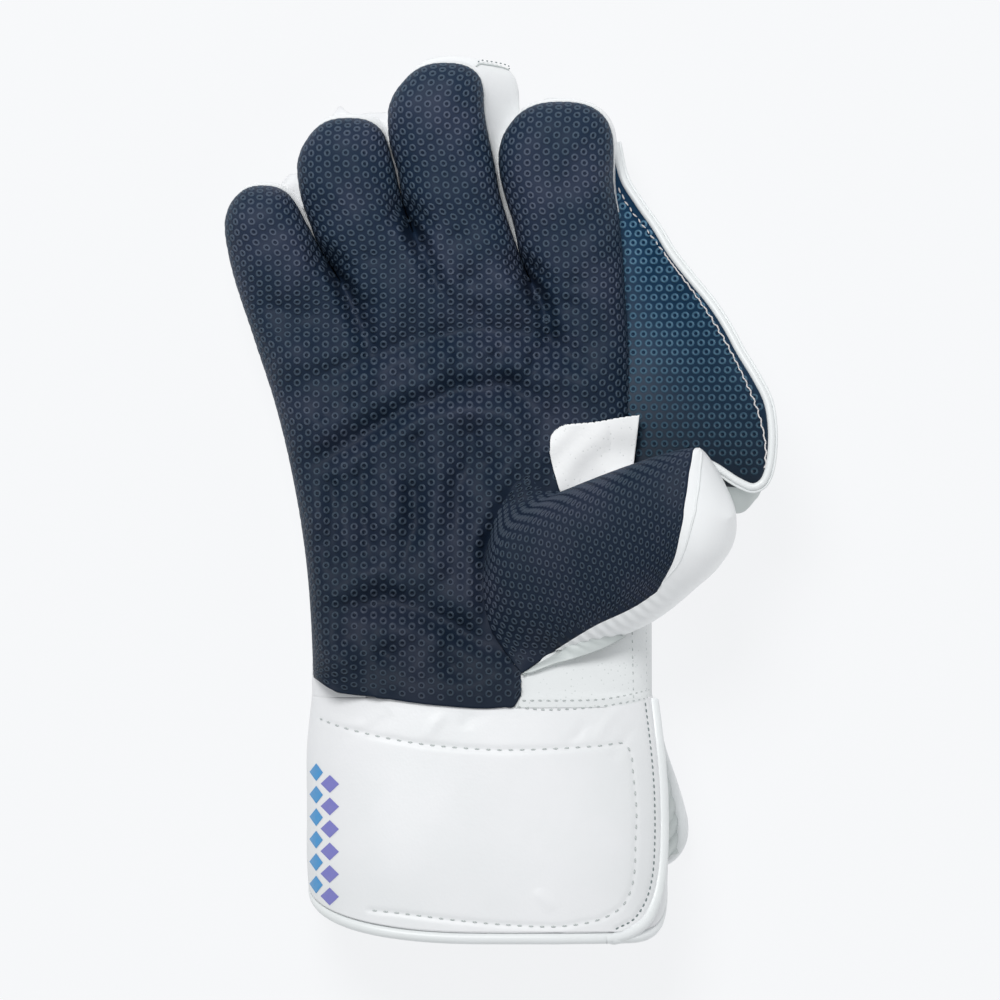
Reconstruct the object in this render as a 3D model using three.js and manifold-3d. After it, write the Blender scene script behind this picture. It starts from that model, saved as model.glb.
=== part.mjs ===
// A right-hand wicketkeeping glove in millimetres. It lies on its back with the palm up.
// X runs towards the thumb, Y towards the fingertips and Z up from the surface it lies on.
// The hand is a hollow of one palm tube, four finger tubes and a thumb tube, closed in front by
// rubber, at the sides of the fingers by leather walls and behind by a padded leather back.
// The web hangs between index finger and thumb, and the cuff is a front and a back panel.

import * as THREE from 'three';
import { mergeVertices } from 'three/addons/utils/BufferGeometryUtils.js';
import Module from 'manifold-3d';

const wasm = await Module();
wasm.setup();

// Driving sizes of the hand
const HAND_LENGTH = 240.5;
const HAND_WIDTH = 128;
const HAND_THICKNESS = 49;
const FINGER_CURL = 19;
const FINGER_LEAN = 7;
const FINGER_LIFT = 7;
const PALM_WALL = 3;
const SIDE_WALL = 3;
const BACK_WALL = 6;
const FLATTENING = 4;
const SIDE_BAND = 11;

// Driving sizes of the thumb and the web
const THUMB_LENGTH = 101;
const THUMB_WIDTH = 56;
const THUMB_THICKNESS = 44;
const THUMB_RISE = 52;
const THUMB_HEADING = 25;
const WEB_WIDTH = 55;
const WEB_LIFT = 34;
const WEB_SAG = 7;
const WEB_RAISE = 6;
const WEB_RUBBER = 2;
const WEB_LEATHER = 2;
const WEB_PIPING = 3.6;

// Driving sizes of the cuff, the patches and the seams
const CUFF_LENGTH = 92;
const CUFF_HEIGHT = 67;
const CUFF_WALL = 4;
const CUFF_PAD = 6;
const CUFF_PIPING = 4.4;
const PATCH_WALL = 1.6;
const SEAM_GAP = 0.3;

// Facets of the lofts, sheets and rolls
const RING_SIDES = 18;
const FINGER_STATIONS = 7;
const PALM_STATIONS = 8;
const THUMB_STATIONS = 8;
const SEAM_CELLS = 40;
const WEB_COLUMNS = 6;
const WEB_ROWS = 22;
const WEB_ROLL_STEPS = 36;
const CUFF_COLUMNS = 18;
const CUFF_ROWS = 8;
const CUFF_ROLL_STEPS = 34;

// Longer than anything here, for the boxes and prisms that cut
const REACH = 3 * HAND_LENGTH;

// Powers of the rounded sections: 2 is an ellipse, and a larger one is squarer
const HAND_POWER = 3;
const FINGER_POWER = 2.5;
const THUMB_POWER = 2.3;
const CUFF_POWER = 3;

// The palm tube from the wrist to the finger roots. Along is a share of the hand's length, left
// and right are shares of its width, and top is a share of its thickness.
const PALM_SECTIONS = [
  { along: 0.0, left: -0.55, right: 0.455, top: 1.16 },
  { along: 0.1, left: -0.549, right: 0.445, top: 1.08 },
  { along: 0.225, left: -0.567, right: 0.425, top: 1.0 },
  { along: 0.35, left: -0.608, right: 0.4, top: 0.97 },
  { along: 0.474, left: -0.668, right: 0.392, top: 0.97 },
  { along: 0.574, left: -0.725, right: 0.378, top: 0.94 },
  { along: 0.665, left: -0.745, right: 0.34, top: 0.74 },
];
const PALM_END = 0.665;

// Where the fingers leave the surface, where they lean, and where the palm's front stops falling,
// in shares of the hand's length
const CURL = { start: 0.6, span: 0.35, power: 1.2 };
const LEAN = { start: 0.55, end: 0.85, forward: 0.4, under: 0.6 };
const LIFT_OFF = { start: 0.5, end: 0.7 };
const TOP_END = 0.54;
const PALM_CLOSE = { start: 0.56, rise: 0.25 };

// The finger tubes, each with its two sides at four places, its tip, the length of its rounded
// end and where its leather wall starts, in the same shares
const FINGERS = [
  {
    name: 'little',
    tip: 0.8,
    dome: 0.1,
    wall: 0.712,
    sections: [
      { along: 0.46, left: -0.63, right: -0.3 },
      { along: 0.6, left: -0.743, right: -0.435 },
      { along: 0.7, left: -0.8, right: -0.53 },
      { along: 0.78, left: -0.808, right: -0.58 },
    ],
  },
  {
    name: 'ring',
    tip: 0.905,
    dome: 0.108,
    wall: 0.785,
    sections: [
      { along: 0.46, left: -0.32, right: -0.06 },
      { along: 0.6, left: -0.435, right: -0.16 },
      { along: 0.71, left: -0.537, right: -0.228 },
      { along: 0.83, left: -0.592, right: -0.306 },
    ],
  },
  {
    name: 'middle',
    tip: 0.99,
    dome: 0.108,
    wall: 0.785,
    sections: [
      { along: 0.46, left: -0.06, right: 0.19 },
      { along: 0.6, left: -0.16, right: 0.13 },
      { along: 0.74, left: -0.25, right: 0.036 },
      { along: 0.87, left: -0.32, right: -0.028 },
    ],
  },
  {
    name: 'index',
    tip: 0.93,
    dome: 0.108,
    wall: 0.7,
    sections: [
      { along: 0.46, left: 0.18, right: 0.37 },
      { along: 0.6, left: 0.13, right: 0.38 },
      { along: 0.74, left: 0.042, right: 0.356 },
      { along: 0.86, left: 0.004, right: 0.342 },
    ],
  },
];

// The thumb tube from its root in the palm. Along is a share of its length, wide and thick are
// shares of its width and thickness, and aside moves a section towards the wrist.
const THUMB_SECTIONS = [
  { along: 0.0, wide: 1.06, thick: 1.14, aside: 0.0 },
  { along: 0.3, wide: 1.06, thick: 1.06, aside: 0.02 },
  { along: 0.6, wide: 0.98, thick: 0.96, aside: 0.02 },
  { along: 0.85, wide: 0.82, thick: 0.86, aside: 0.01 },
  { along: 1.0, wide: 0.74, thick: 0.78, aside: 0.0 },
];
const THUMB_DOME = 0.14;
const ROOT_TAPER = 0.1;

// Where the thumb starts, in shares of the hand's width, length and thickness, and the edges of
// its rubber face: a tilt in degrees round its axis and a share of its length
const THUMB_ROOT = { across: 0.034, along: 0.16, up: 0.53 };
const THUMB_FACE = { tilt: 24, end: 0.84 };

// The rounded ends of the tubes, and how near to their points the last sections lie
const FINGER_DOME_POWER = 2.3;
const THUMB_DOME_POWER = 3;
const DOME_END = 0.985;

// The cuff from the wrist to its hem, along as a share of its length. Left, right and flap, the
// reach of the back panel, are shares of the hand's width.
const CUFF_SECTIONS = [
  { along: 0.0, left: -0.55, right: 0.455, flap: 0.47, top: 0 },
  { along: 0.2, left: -0.564, right: 0.484, flap: 0.519, top: 0.3 },
  { along: 0.45, left: -0.564, right: 0.497, flap: 0.58, top: 0.62 },
  { along: 0.66, left: -0.564, right: 0.499, flap: 0.613, top: 0.85 },
  { along: 1.0, left: -0.545, right: 0.49, flap: 0.613, top: 1 },
];

// The front panel's hem is cut away at its thumb side and where it wraps round, and the back
// panel's hem at its flap. The spans are shares of a panel's turn, the cuts of its length.
const FRONT_EDGE = -6;
const FRONT_BACK = 205;
const BACK_EDGE = 332;
const BACK_SPLIT = 0.6;
const FRONT_CORNER = { span: 0.24, cut: 0.36 };
const FRONT_WRAP = { start: 0.45, cut: 0.27, power: 1.6 };
const BACK_CORNER = { start: 0.7, cut: 0.2, bow: 0.02 };
const CORNER_POWER = 2.2;
const CORNER_END = 0.98;

// The suede patch in the thumb's crotch, in shares of the hand's width and length
const CROTCH_PATCH = [
  { across: 0.15, along: 0.365 },
  { across: 0.154, along: 0.405 },
  { across: 0.19, along: 0.424 },
  { across: 0.385, along: 0.436 },
  { across: 0.385, along: 0.3 },
  { across: 0.15, along: 0.3 },
];

// The suede panel at the wrist and how high the crotch patch starts over the seam, in the same shares
const WRIST_PATCH = { across: 0.066, along: 0.115 };
const PATCH_FLOOR = 0.35;

// The web's root beside the index finger, from its tip end to its thumb end
const WEB_ROOT = { across: 0.3, tip: 0.86, crotch: 0.3, level: 0.6 };

// The web's free edge from the index fingertip round to the thumb. Out is a share of the web's
// width, along a share of the hand's length, and lift a share of the web's lift.
const WEB_EDGE = [
  { out: -0.12, along: 0.885, lift: 0.0 },
  { out: 0.1, along: 0.772, lift: 0.05 },
  { out: 0.45, along: 0.66, lift: 0.3 },
  { out: 0.82, along: 0.54, lift: 0.6 },
  { out: 1.0, along: 0.44, lift: 0.85 },
  { out: 1.02, along: 0.375, lift: 0.95 },
  { out: 0.93, along: 0.325, lift: 1.0 },
  { out: 0.72, along: 0.335, lift: 1.0 },
  { out: 0.4, along: 0.35, lift: 1.0 },
];

const HAND_INSET = { side: SIDE_WALL, front: PALM_WALL, back: BACK_WALL };
const NO_INSET = { side: 0, front: 0, back: 0 };
const CLEARANCE = { side: -SEAM_GAP, front: -SEAM_GAP, back: -SEAM_GAP };

// Smooth interpolation of one column of a table through its rows
function column(table, name, along) {
  let row = 0;
  while (row < table.length - 2 && along > table[row + 1].along) {
    row += 1;
  }
  const before = table[Math.max(row - 1, 0)];
  const start = table[row];
  const end = table[row + 1];
  const after = table[Math.min(row + 2, table.length - 1)];
  const span = end.along - start.along;
  const share = THREE.MathUtils.clamp((along - start.along) / span, 0, 1);
  const slopeIn = ((end[name] - before[name]) / (end.along - before.along)) * span;
  const slopeOut = ((after[name] - start[name]) / (after.along - start.along)) * span;
  const square = share * share;
  const cube = square * share;
  return (
    (2 * cube - 3 * square + 1) * start[name] +
    (cube - 2 * square + share) * slopeIn +
    (3 * square - 2 * cube) * end[name] +
    (cube - square) * slopeOut
  );
}

function smooth(low, high, value) {
  return THREE.MathUtils.smoothstep(value, low, high);
}

// A solid from an indexed list of points
function solidFrom(points, triangles) {
  const vertices = new Float32Array(points.length * 3);
  points.forEach((point, index) => point.toArray(vertices, index * 3));
  const mesh = new wasm.Mesh({
    numProp: 3,
    vertProperties: vertices,
    triVerts: new Uint32Array(triangles),
  });
  return new wasm.Manifold(mesh);
}

// A solid from a closed three.js geometry
function solidOf(geometry) {
  const bare = geometry.index ? geometry.toNonIndexed() : geometry.clone();
  bare.deleteAttribute('normal');
  bare.deleteAttribute('uv');
  const merged = mergeVertices(bare, 1e-4);
  const mesh = new wasm.Mesh({
    numProp: 3,
    vertProperties: new Float32Array(merged.attributes.position.array),
    triVerts: new Uint32Array(merged.index.array),
  });
  return new wasm.Manifold(mesh);
}

// A closed tube through rings of equal length, with a fan of triangles on each end
function loft(rings) {
  const sides = rings[0].length;
  const points = rings.flat();
  const triangles = [];
  for (let station = 0; station < rings.length - 1; station += 1) {
    for (let side = 0; side < sides; side += 1) {
      const next = (side + 1) % sides;
      const a = station * sides + side;
      const b = station * sides + next;
      triangles.push(a, a + sides, b, b, a + sides, b + sides);
    }
  }
  for (const station of [0, rings.length - 1]) {
    const centre = new THREE.Vector3();
    rings[station].forEach((point) => centre.addScaledVector(point, 1 / sides));
    const hub = points.push(centre) - 1;
    for (let side = 0; side < sides; side += 1) {
      const a = station * sides + side;
      const b = station * sides + ((side + 1) % sides);
      triangles.push(...(station === 0 ? [hub, a, b] : [hub, b, a]));
    }
  }
  return solidFrom(points, triangles);
}

// A sheet of even wall on a surface place(u, v), between two distances along its normal.
// Its front is where du cross dv points.
function sheet(place, across, down, low, high) {
  const points = [];
  const step = 1e-3;
  for (const distance of [low, high]) {
    for (let j = 0; j <= down; j += 1) {
      for (let i = 0; i <= across; i += 1) {
        const u = i / across;
        const v = j / down;
        const alongU = place(u + step, v).sub(place(u - step, v));
        const alongV = place(u, v + step).sub(place(u, v - step));
        const normal = alongU.cross(alongV).normalize();
        points.push(place(u, v).addScaledVector(normal, distance));
      }
    }
  }
  const row = across + 1;
  const layer = row * (down + 1);
  const triangles = [];
  const quad = (a, b, c, d) => triangles.push(a, b, c, a, c, d);
  for (let j = 0; j < down; j += 1) {
    for (let i = 0; i < across; i += 1) {
      const a = j * row + i;
      quad(a + layer, a + layer + 1, a + layer + row + 1, a + layer + row);
      quad(a, a + row, a + row + 1, a + 1);
    }
  }
  for (let i = 0; i < across; i += 1) {
    const end = down * row + i;
    quad(i, i + 1, i + 1 + layer, i + layer);
    quad(end, end + layer, end + layer + 1, end + 1);
  }
  for (let j = 0; j < down; j += 1) {
    const start = j * row;
    const end = start + across;
    quad(start, start + layer, start + layer + row, start + row);
    quad(end, end + row, end + row + layer, end + layer);
  }
  return solidFrom(points, triangles);
}

// Everything over or under a surface height(y)
function halfSpace(height, above) {
  const far = above ? REACH : -REACH;
  const points = [];
  for (const level of [height, () => far]) {
    for (let j = 0; j <= SEAM_CELLS; j += 1) {
      const y = (j / SEAM_CELLS - 0.5) * REACH;
      points.push(new THREE.Vector3(-REACH, y, level(y)), new THREE.Vector3(REACH, y, level(y)));
    }
  }
  const layer = 2 * (SEAM_CELLS + 1);
  const triangles = [];
  const quad = (a, b, c, d) => {
    triangles.push(...(above ? [a, b, c, a, c, d] : [a, c, b, a, d, c]));
  };
  for (let j = 0; j < SEAM_CELLS; j += 1) {
    const a = 2 * j;
    quad(a, a + 2, a + 3, a + 1);
    quad(a + layer, a + layer + 1, a + layer + 3, a + layer + 2);
    quad(a, a + layer, a + layer + 2, a + 2);
    quad(a + 1, a + 3, a + layer + 3, a + layer + 1);
  }
  const last = 2 * SEAM_CELLS;
  quad(0, 1, 1 + layer, layer);
  quad(last, last + layer, last + layer + 1, last + 1);
  return solidFrom(points, triangles);
}

// A tall prism over a plan outline
function prism(corners) {
  const shape = new THREE.Shape(corners.map(([x, y]) => new THREE.Vector2(x, y)));
  const geometry = new THREE.ExtrudeGeometry(shape, { depth: 2 * REACH, bevelEnabled: false });
  geometry.translate(0, 0, -REACH);
  return solidOf(geometry);
}

// A round cord of leather along a curve
function roll(curve, diameter, steps) {
  const section = new THREE.Shape();
  section.absarc(0, 0, diameter / 2, 0, 2 * Math.PI, false);
  const geometry = new THREE.ExtrudeGeometry(section, {
    extrudePath: curve,
    steps,
    curveSegments: 4,
    bevelEnabled: false,
  });
  return solidOf(geometry);
}

function rounded(value, power) {
  return Math.sign(value) * Math.abs(value) ** (2 / power);
}

// How much of a section is left at a share of a rounded end
function domed(into, power) {
  return (1 - into ** power) ** (1 / power);
}

// One cross-section of the hand, flattened where it lies on the surface
function handRing(along, sides, heights, inset, power) {
  const ring = [];
  const middle = (sides.left + sides.right) / 2;
  const half = (sides.right - sides.left) / 2 - inset.side;
  const top = heights.top - inset.front;
  const bottom = heights.bottom + inset.back;
  for (let side = 0; side < RING_SIDES; side += 1) {
    const angle = (2 * Math.PI * (side + 0.5)) / RING_SIDES;
    const x = middle + half * rounded(Math.cos(angle), power);
    const z = (top + bottom) / 2 + ((top - bottom) / 2) * rounded(Math.sin(angle), power);
    ring.push(new THREE.Vector3(x, along * HAND_LENGTH, Math.max(z, inset.back)));
  }
  return ring;
}

// How far a finger has curled up from the surface at a share of the hand's length
function curl(along) {
  return Math.max((along - CURL.start) / CURL.span, 0) ** CURL.power;
}

function handHeights(along) {
  const palmTop = HAND_THICKNESS * column(PALM_SECTIONS, 'top', Math.min(along, TOP_END));
  const liftOff = smooth(LIFT_OFF.start, LIFT_OFF.end, along);
  return {
    top: palmTop + FINGER_LIFT * curl(along),
    bottom: FLATTENING * (liftOff - 1) + FINGER_CURL * curl(along),
  };
}

// The palm tube, open at the wrist when it is the hollow
function palmTube(inset) {
  const rings = [];
  const open = inset.side > 0;
  for (let station = 0; station <= PALM_STATIONS; station += 1) {
    const along = (station / PALM_STATIONS) * (PALM_END - inset.side / HAND_LENGTH);
    const heights = handHeights(along);
    heights.top = HAND_THICKNESS * column(PALM_SECTIONS, 'top', along);
    heights.bottom += PALM_CLOSE.rise * HAND_THICKNESS * smooth(PALM_CLOSE.start, PALM_END, along);
    const sides = {
      left: HAND_WIDTH * column(PALM_SECTIONS, 'left', along),
      right: HAND_WIDTH * column(PALM_SECTIONS, 'right', along),
    };
    const place = station === 0 && open ? -inset.side / HAND_LENGTH : along;
    rings.push(handRing(place, sides, heights, inset, HAND_POWER));
  }
  return loft(rings);
}

// One finger tube, its end rounded over a dome
function fingerTube(finger, inset) {
  const rings = [];
  const root = finger.sections[0].along;
  const tip = finger.tip - inset.side / HAND_LENGTH;
  for (let station = 0; station <= FINGER_STATIONS; station += 1) {
    const ease = Math.sin((station / FINGER_STATIONS) * (Math.PI / 2)) ** 0.9;
    const along = root + (tip - root) * ease;
    const into = THREE.MathUtils.clamp(1 - (tip - along) / finger.dome, 0, DOME_END);
    const taper = 1 - ROOT_TAPER * (1 - smooth(root, root + ROOT_TAPER, along));
    const shrink = taper * domed(into, FINGER_DOME_POWER);
    const sides = {
      left: HAND_WIDTH * column(finger.sections, 'left', along),
      right: HAND_WIDTH * column(finger.sections, 'right', along),
    };
    const heights = handHeights(along);
    const ring = handRing(along, sides, heights, inset, FINGER_POWER);
    const hub = new THREE.Vector3((sides.left + sides.right) / 2, along * HAND_LENGTH, 0);
    hub.z = (heights.top + heights.bottom + inset.back - inset.front) / 2;
    rings.push(ring.map((point) => point.sub(hub).multiplyScalar(shrink).add(hub)));
  }
  return loft(rings);
}

// The thumb's axis leaves the palm towards the index side and rises from it
const thumbRoot = new THREE.Vector3(
  THUMB_ROOT.across * HAND_WIDTH,
  THUMB_ROOT.along * HAND_LENGTH,
  THUMB_ROOT.up * HAND_THICKNESS,
);
const thumbRun = Math.sqrt(THUMB_LENGTH ** 2 - THUMB_RISE ** 2);
const thumbHeading = THREE.MathUtils.degToRad(THUMB_HEADING);
const thumbAxis = new THREE.Vector3(
  thumbRun * Math.cos(thumbHeading),
  thumbRun * Math.sin(thumbHeading),
  THUMB_RISE,
).normalize();
const thumbSide = new THREE.Vector3(Math.sin(thumbHeading), -Math.cos(thumbHeading), 0);
const thumbFace = new THREE.Vector3().crossVectors(thumbSide, thumbAxis);

function thumbTube(inset) {
  const rings = [];
  const start = inset.side / THUMB_LENGTH;
  for (let station = 0; station <= THUMB_STATIONS; station += 1) {
    const ease = Math.sin((station / THUMB_STATIONS) * (Math.PI / 2));
    const along = start + (1 - 2 * start) * ease;
    const into = THREE.MathUtils.clamp(1 - (1 - start - along) / THUMB_DOME, 0, DOME_END);
    const shrink = domed(into, THUMB_DOME_POWER);
    const wide = THUMB_WIDTH * column(THUMB_SECTIONS, 'wide', along) - 2 * inset.side;
    const thick = THUMB_THICKNESS * column(THUMB_SECTIONS, 'thick', along) - inset.front - inset.side;
    const aside = THUMB_WIDTH * column(THUMB_SECTIONS, 'aside', along);
    const centre = thumbRoot.clone().addScaledVector(thumbAxis, along * THUMB_LENGTH);
    centre.addScaledVector(thumbSide, aside);
    const ring = [];
    for (let side = 0; side < RING_SIDES; side += 1) {
      const angle = (2 * Math.PI * (side + 0.5)) / RING_SIDES;
      const out = shrink * wide * rounded(Math.cos(angle), THUMB_POWER);
      const up = shrink * thick * rounded(Math.sin(angle), THUMB_POWER);
      const point = centre.clone().addScaledVector(thumbSide, out / 2);
      ring.push(point.addScaledVector(thumbFace, up / 2));
    }
    rings.push(ring);
  }
  return loft(rings);
}

function handTubes(inset) {
  return FINGERS.map((finger) => fingerTube(finger, inset)).reduce(
    (joined, tube) => joined.add(tube),
    palmTube(inset),
  );
}

const palmOuter = handTubes(NO_INSET);
const palmHollow = handTubes(HAND_INSET);
const palmCleared = handTubes(CLEARANCE);
const thumbOuter = thumbTube(NO_INSET);
const thumbHollow = thumbTube(HAND_INSET);
const thumbCleared = thumbTube(CLEARANCE);

// The seam between rubber and leather rises with the fingers
function seamHeight(y) {
  const along = y / HAND_LENGTH;
  const { top, bottom } = handHeights(along);
  return Math.max(bottom, 0) + 0.5 * (top - Math.max(bottom, 0));
}

const handShell = palmOuter.subtract(palmHollow).subtract(thumbHollow);
const half = SEAM_GAP / 2;
const overSeam = halfSpace((y) => seamHeight(y) + half, true);
const underSeam = halfSpace((y) => seamHeight(y) - half, false);

// The suede panel over the wrist takes the thumb's side of the rubber's lower end
const wristLeft = WRIST_PATCH.across * HAND_WIDTH;
const wristTop = WRIST_PATCH.along * HAND_LENGTH;
const wristBox = (gap) => prism([
  [wristLeft - gap, -REACH],
  [REACH, -REACH],
  [REACH, wristTop + gap],
  [wristLeft - gap, wristTop + gap],
]);
const rubberShell = handShell.intersect(overSeam);
const palmRubber = rubberShell.subtract(wristBox(SEAM_GAP));
const wristPatch = rubberShell.intersect(wristBox(0)).subtract(thumbCleared);

// The leather walls round the fingers lie between the rubber and the back
const bandTop = halfSpace((y) => seamHeight(y) - SIDE_BAND, true);
const bandLow = halfSpace((y) => seamHeight(y) - SIDE_BAND - SEAM_GAP, false);
const leatherShell = handShell.intersect(underSeam);

function fingerEnd(finger, inset) {
  const from = finger.wall * HAND_LENGTH + inset.side;
  const beyond = prism([
    [-REACH, from],
    [REACH, from],
    [REACH, REACH],
    [-REACH, REACH],
  ]);
  return fingerTube(finger, inset).intersect(beyond);
}

const fingerWalls = FINGERS.map((finger) => ({
  name: `${finger.name}_wall`,
  solid: fingerEnd(finger, NO_INSET).subtract(palmHollow).intersect(underSeam).intersect(bandTop),
}));
const handBack = FINGERS.reduce(
  (left, finger) => left.subtract(fingerEnd(finger, CLEARANCE).subtract(bandLow)),
  leatherShell,
);

// The thumb's rubber face ends at a plane through its axis and at a slanted plane near its tip
const thumbShell = thumbOuter.subtract(thumbHollow).subtract(palmCleared);

function thumbFaceZone(gap) {
  const tilt = THREE.MathUtils.degToRad(THUMB_FACE.tilt);
  const out = thumbFace.clone().multiplyScalar(Math.cos(tilt));
  out.addScaledVector(thumbSide, -Math.sin(tilt));
  const end = THUMB_FACE.end * THUMB_LENGTH + gap;
  const centre = thumbRoot.clone().addScaledVector(thumbAxis, end - REACH / 2);
  centre.addScaledVector(out, REACH / 2 - gap);
  const turned = new THREE.Matrix4().makeBasis(thumbAxis, out.clone().cross(thumbAxis), out);
  turned.setPosition(centre);
  return solidOf(new THREE.BoxGeometry(REACH, REACH, REACH).applyMatrix4(turned));
}

const thumbRubber = thumbShell.intersect(thumbFaceZone(0));
const thumbLeather = thumbShell.subtract(thumbFaceZone(SEAM_GAP));

// The web is a sagging sheet from the index side out to its rolled free edge
const indexFinger = FINGERS.find((finger) => finger.name === 'index');
const webRoot = seamHeight(WEB_ROOT.level * HAND_LENGTH) + WEB_RAISE;

function webEdgePoint(row) {
  const side = column(indexFinger.sections, 'right', Math.min(row.along, WEB_ROOT.tip));
  return new THREE.Vector3(
    HAND_WIDTH * side + row.out * WEB_WIDTH,
    row.along * HAND_LENGTH,
    webRoot + row.lift * WEB_LIFT,
  );
}
const webCurve = new THREE.CatmullRomCurve3(WEB_EDGE.map(webEdgePoint), false, 'centripetal');

function webPlace(u, v) {
  const edge = webCurve.getPoint(THREE.MathUtils.clamp(v, 0, 1));
  const along = THREE.MathUtils.lerp(WEB_ROOT.tip, WEB_ROOT.crotch, v);
  const root = new THREE.Vector3(WEB_ROOT.across * HAND_WIDTH, along * HAND_LENGTH, webRoot);
  const tangent = webCurve.getTangent(THREE.MathUtils.clamp(v, 0, 1));
  const inward = new THREE.Vector3(tangent.y, -tangent.x, 0).normalize();
  edge.addScaledVector(inward, WEB_PIPING / 2 + 2 * SEAM_GAP);
  const point = root.lerp(edge, u);
  const inner = THREE.MathUtils.clamp(u, 0, 1);
  point.z -= WEB_SAG * Math.sin(Math.PI * inner) * Math.sin(Math.PI * v);
  return point;
}
const palmLeaned = solidOf(geometryOf(palmCleared, true));
const webCut = (solid) => solid.subtract(palmLeaned).subtract(thumbCleared);
const webSheet = (low, high) => sheet(webPlace, WEB_COLUMNS, WEB_ROWS, low, high);
const webRoll = (diameter) => roll(webCurve, diameter, WEB_ROLL_STEPS);
const pipingRoom = webRoll(WEB_PIPING + 2 * SEAM_GAP);
const webRubberRoom = webSheet(-half, 1.5 * WEB_RUBBER);
const webRubber = webCut(webSheet(half, half + WEB_RUBBER)).subtract(pipingRoom);
const webLeather = webCut(webSheet(-half - WEB_LEATHER, -half))
  .subtract(webRubberRoom)
  .subtract(pipingRoom);
const webPiping = webCut(webRoll(WEB_PIPING));

// The patch lies on the rubber between thumb and index finger
const patchInset = -SEAM_GAP - PATCH_WALL;
const patchSkin = handTubes({ side: patchInset, front: patchInset, back: patchInset });
const patchOutline = CROTCH_PATCH.map(({ across, along }) => [
  across * HAND_WIDTH,
  along * HAND_LENGTH,
]);
const overPatch = halfSpace((y) => seamHeight(y) + PATCH_FLOOR * HAND_THICKNESS, true);
const crotchPatch = patchSkin
  .subtract(palmCleared)
  .intersect(prism(patchOutline))
  .intersect(overPatch)
  .subtract(thumbCleared);

// A point of the cuff's outside. The angle runs round it, 0 at the thumb's side and 90 on top.
function cuffPoint(angle, along, rightName) {
  const turn = THREE.MathUtils.degToRad(angle);
  const left = HAND_WIDTH * column(CUFF_SECTIONS, 'left', along);
  const right = HAND_WIDTH * column(CUFF_SECTIONS, rightName, along);
  const wristTop = HAND_THICKNESS * PALM_SECTIONS[0].top;
  const top = THREE.MathUtils.lerp(wristTop, CUFF_HEIGHT, column(CUFF_SECTIONS, 'top', along));
  const out = ((right - left) / 2) * rounded(Math.cos(turn), CUFF_POWER);
  const up = ((top + FLATTENING) / 2) * rounded(Math.sin(turn), CUFF_POWER);
  const x = (left + right) / 2 + out;
  const z = (top - FLATTENING) / 2 + up;
  return new THREE.Vector3(x, -SEAM_GAP - along * CUFF_LENGTH, Math.max(z, 0));
}

// The front panel runs from its piped edge over the top and round the little finger's side
const hemGrow = (CUFF_PIPING + SEAM_GAP) / CUFF_LENGTH;

function cornerCut(corner) {
  return 1 - Math.sqrt(1 - CORNER_END * corner ** CORNER_POWER);
}

function frontHem(u) {
  const corner = 1 - THREE.MathUtils.clamp(u / FRONT_CORNER.span, 0, 1);
  const wrap = THREE.MathUtils.clamp((u - FRONT_WRAP.start) / (1 - FRONT_WRAP.start), 0, 1);
  const wrapCut = FRONT_WRAP.cut * wrap ** FRONT_WRAP.power;
  return 1 - hemGrow - FRONT_CORNER.cut * cornerCut(corner) - wrapCut;
}

function frontPlace(u, v) {
  const angle = THREE.MathUtils.lerp(FRONT_EDGE, FRONT_BACK, u);
  return cuffPoint(angle, v * frontHem(Math.max(u, 0)), 'right');
}

// The back panel runs from the front's hidden edge under the hand to its padded flap
function backHem(u) {
  const corner = THREE.MathUtils.clamp((u - BACK_CORNER.start) / (1 - BACK_CORNER.start), 0, 1);
  const bow = BACK_CORNER.bow * Math.sin(Math.PI * u);
  return 1 - hemGrow - FRONT_WRAP.cut + bow - BACK_CORNER.cut * cornerCut(corner);
}

function backPlace(u, v) {
  const angle = THREE.MathUtils.lerp(FRONT_BACK + BACK_SPLIT, BACK_EDGE, u);
  return cuffPoint(angle, v * backHem(Math.min(u, 1)), 'flap');
}

// The rolled edge of a panel follows its hem and its open side, one radius outside the sheet
function edgeCurve(surface, openSide, wall, outward) {
  const path = [];
  const hemSteps = 16;
  const sideSteps = 6;
  const add = (u, v, inward) => {
    const step = 1e-3;
    const point = surface(u, v);
    const alongU = surface(u + step, v).sub(surface(u - step, v));
    const alongV = surface(u, v + step).sub(surface(u, v - step));
    const normal = alongU.clone().cross(alongV).normalize();
    const tangent = inward ? alongV : alongU;
    const aside = tangent.clone().cross(normal).normalize();
    const turned = inward ? openSide.turn : 1;
    point.addScaledVector(aside, turned * outward);
    path.push(point.addScaledVector(normal, -wall / 2));
  };
  for (let i = 0.5; i < hemSteps; i += 1) {
    const share = Math.sin(((i / hemSteps) * Math.PI) / 2);
    add(openSide.u === 0 ? 1 - share : share, 1, false);
  }
  for (let i = 1; i <= sideSteps; i += 1) {
    add(openSide.u, 1 - (0.99 * i) / sideSteps, true);
  }
  return new THREE.CatmullRomCurve3(path, false, 'centripetal');
}

const outside = CUFF_PIPING / 2 + SEAM_GAP;
const frontCurve = edgeCurve(frontPlace, { u: 0, turn: 1 }, CUFF_WALL, -outside);
const backCurve = edgeCurve(backPlace, { u: 1, turn: -1 }, CUFF_PAD, -outside);
const cuffRoll = (curve, diameter) => roll(curve, diameter, CUFF_ROLL_STEPS);
const frontPiping = cuffRoll(frontCurve, CUFF_PIPING);
const backPiping = cuffRoll(backCurve, CUFF_PIPING);
const rollRoom = CUFF_PIPING + 2 * SEAM_GAP;
const cuffFront = sheet(frontPlace, CUFF_COLUMNS, CUFF_ROWS, -CUFF_WALL, 0).subtract(
  cuffRoll(frontCurve, rollRoom),
);
const cuffBack = sheet(backPlace, CUFF_COLUMNS - 4, CUFF_ROWS - 1, -CUFF_PAD, 0).subtract(
  cuffRoll(backCurve, rollRoom),
);

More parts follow.
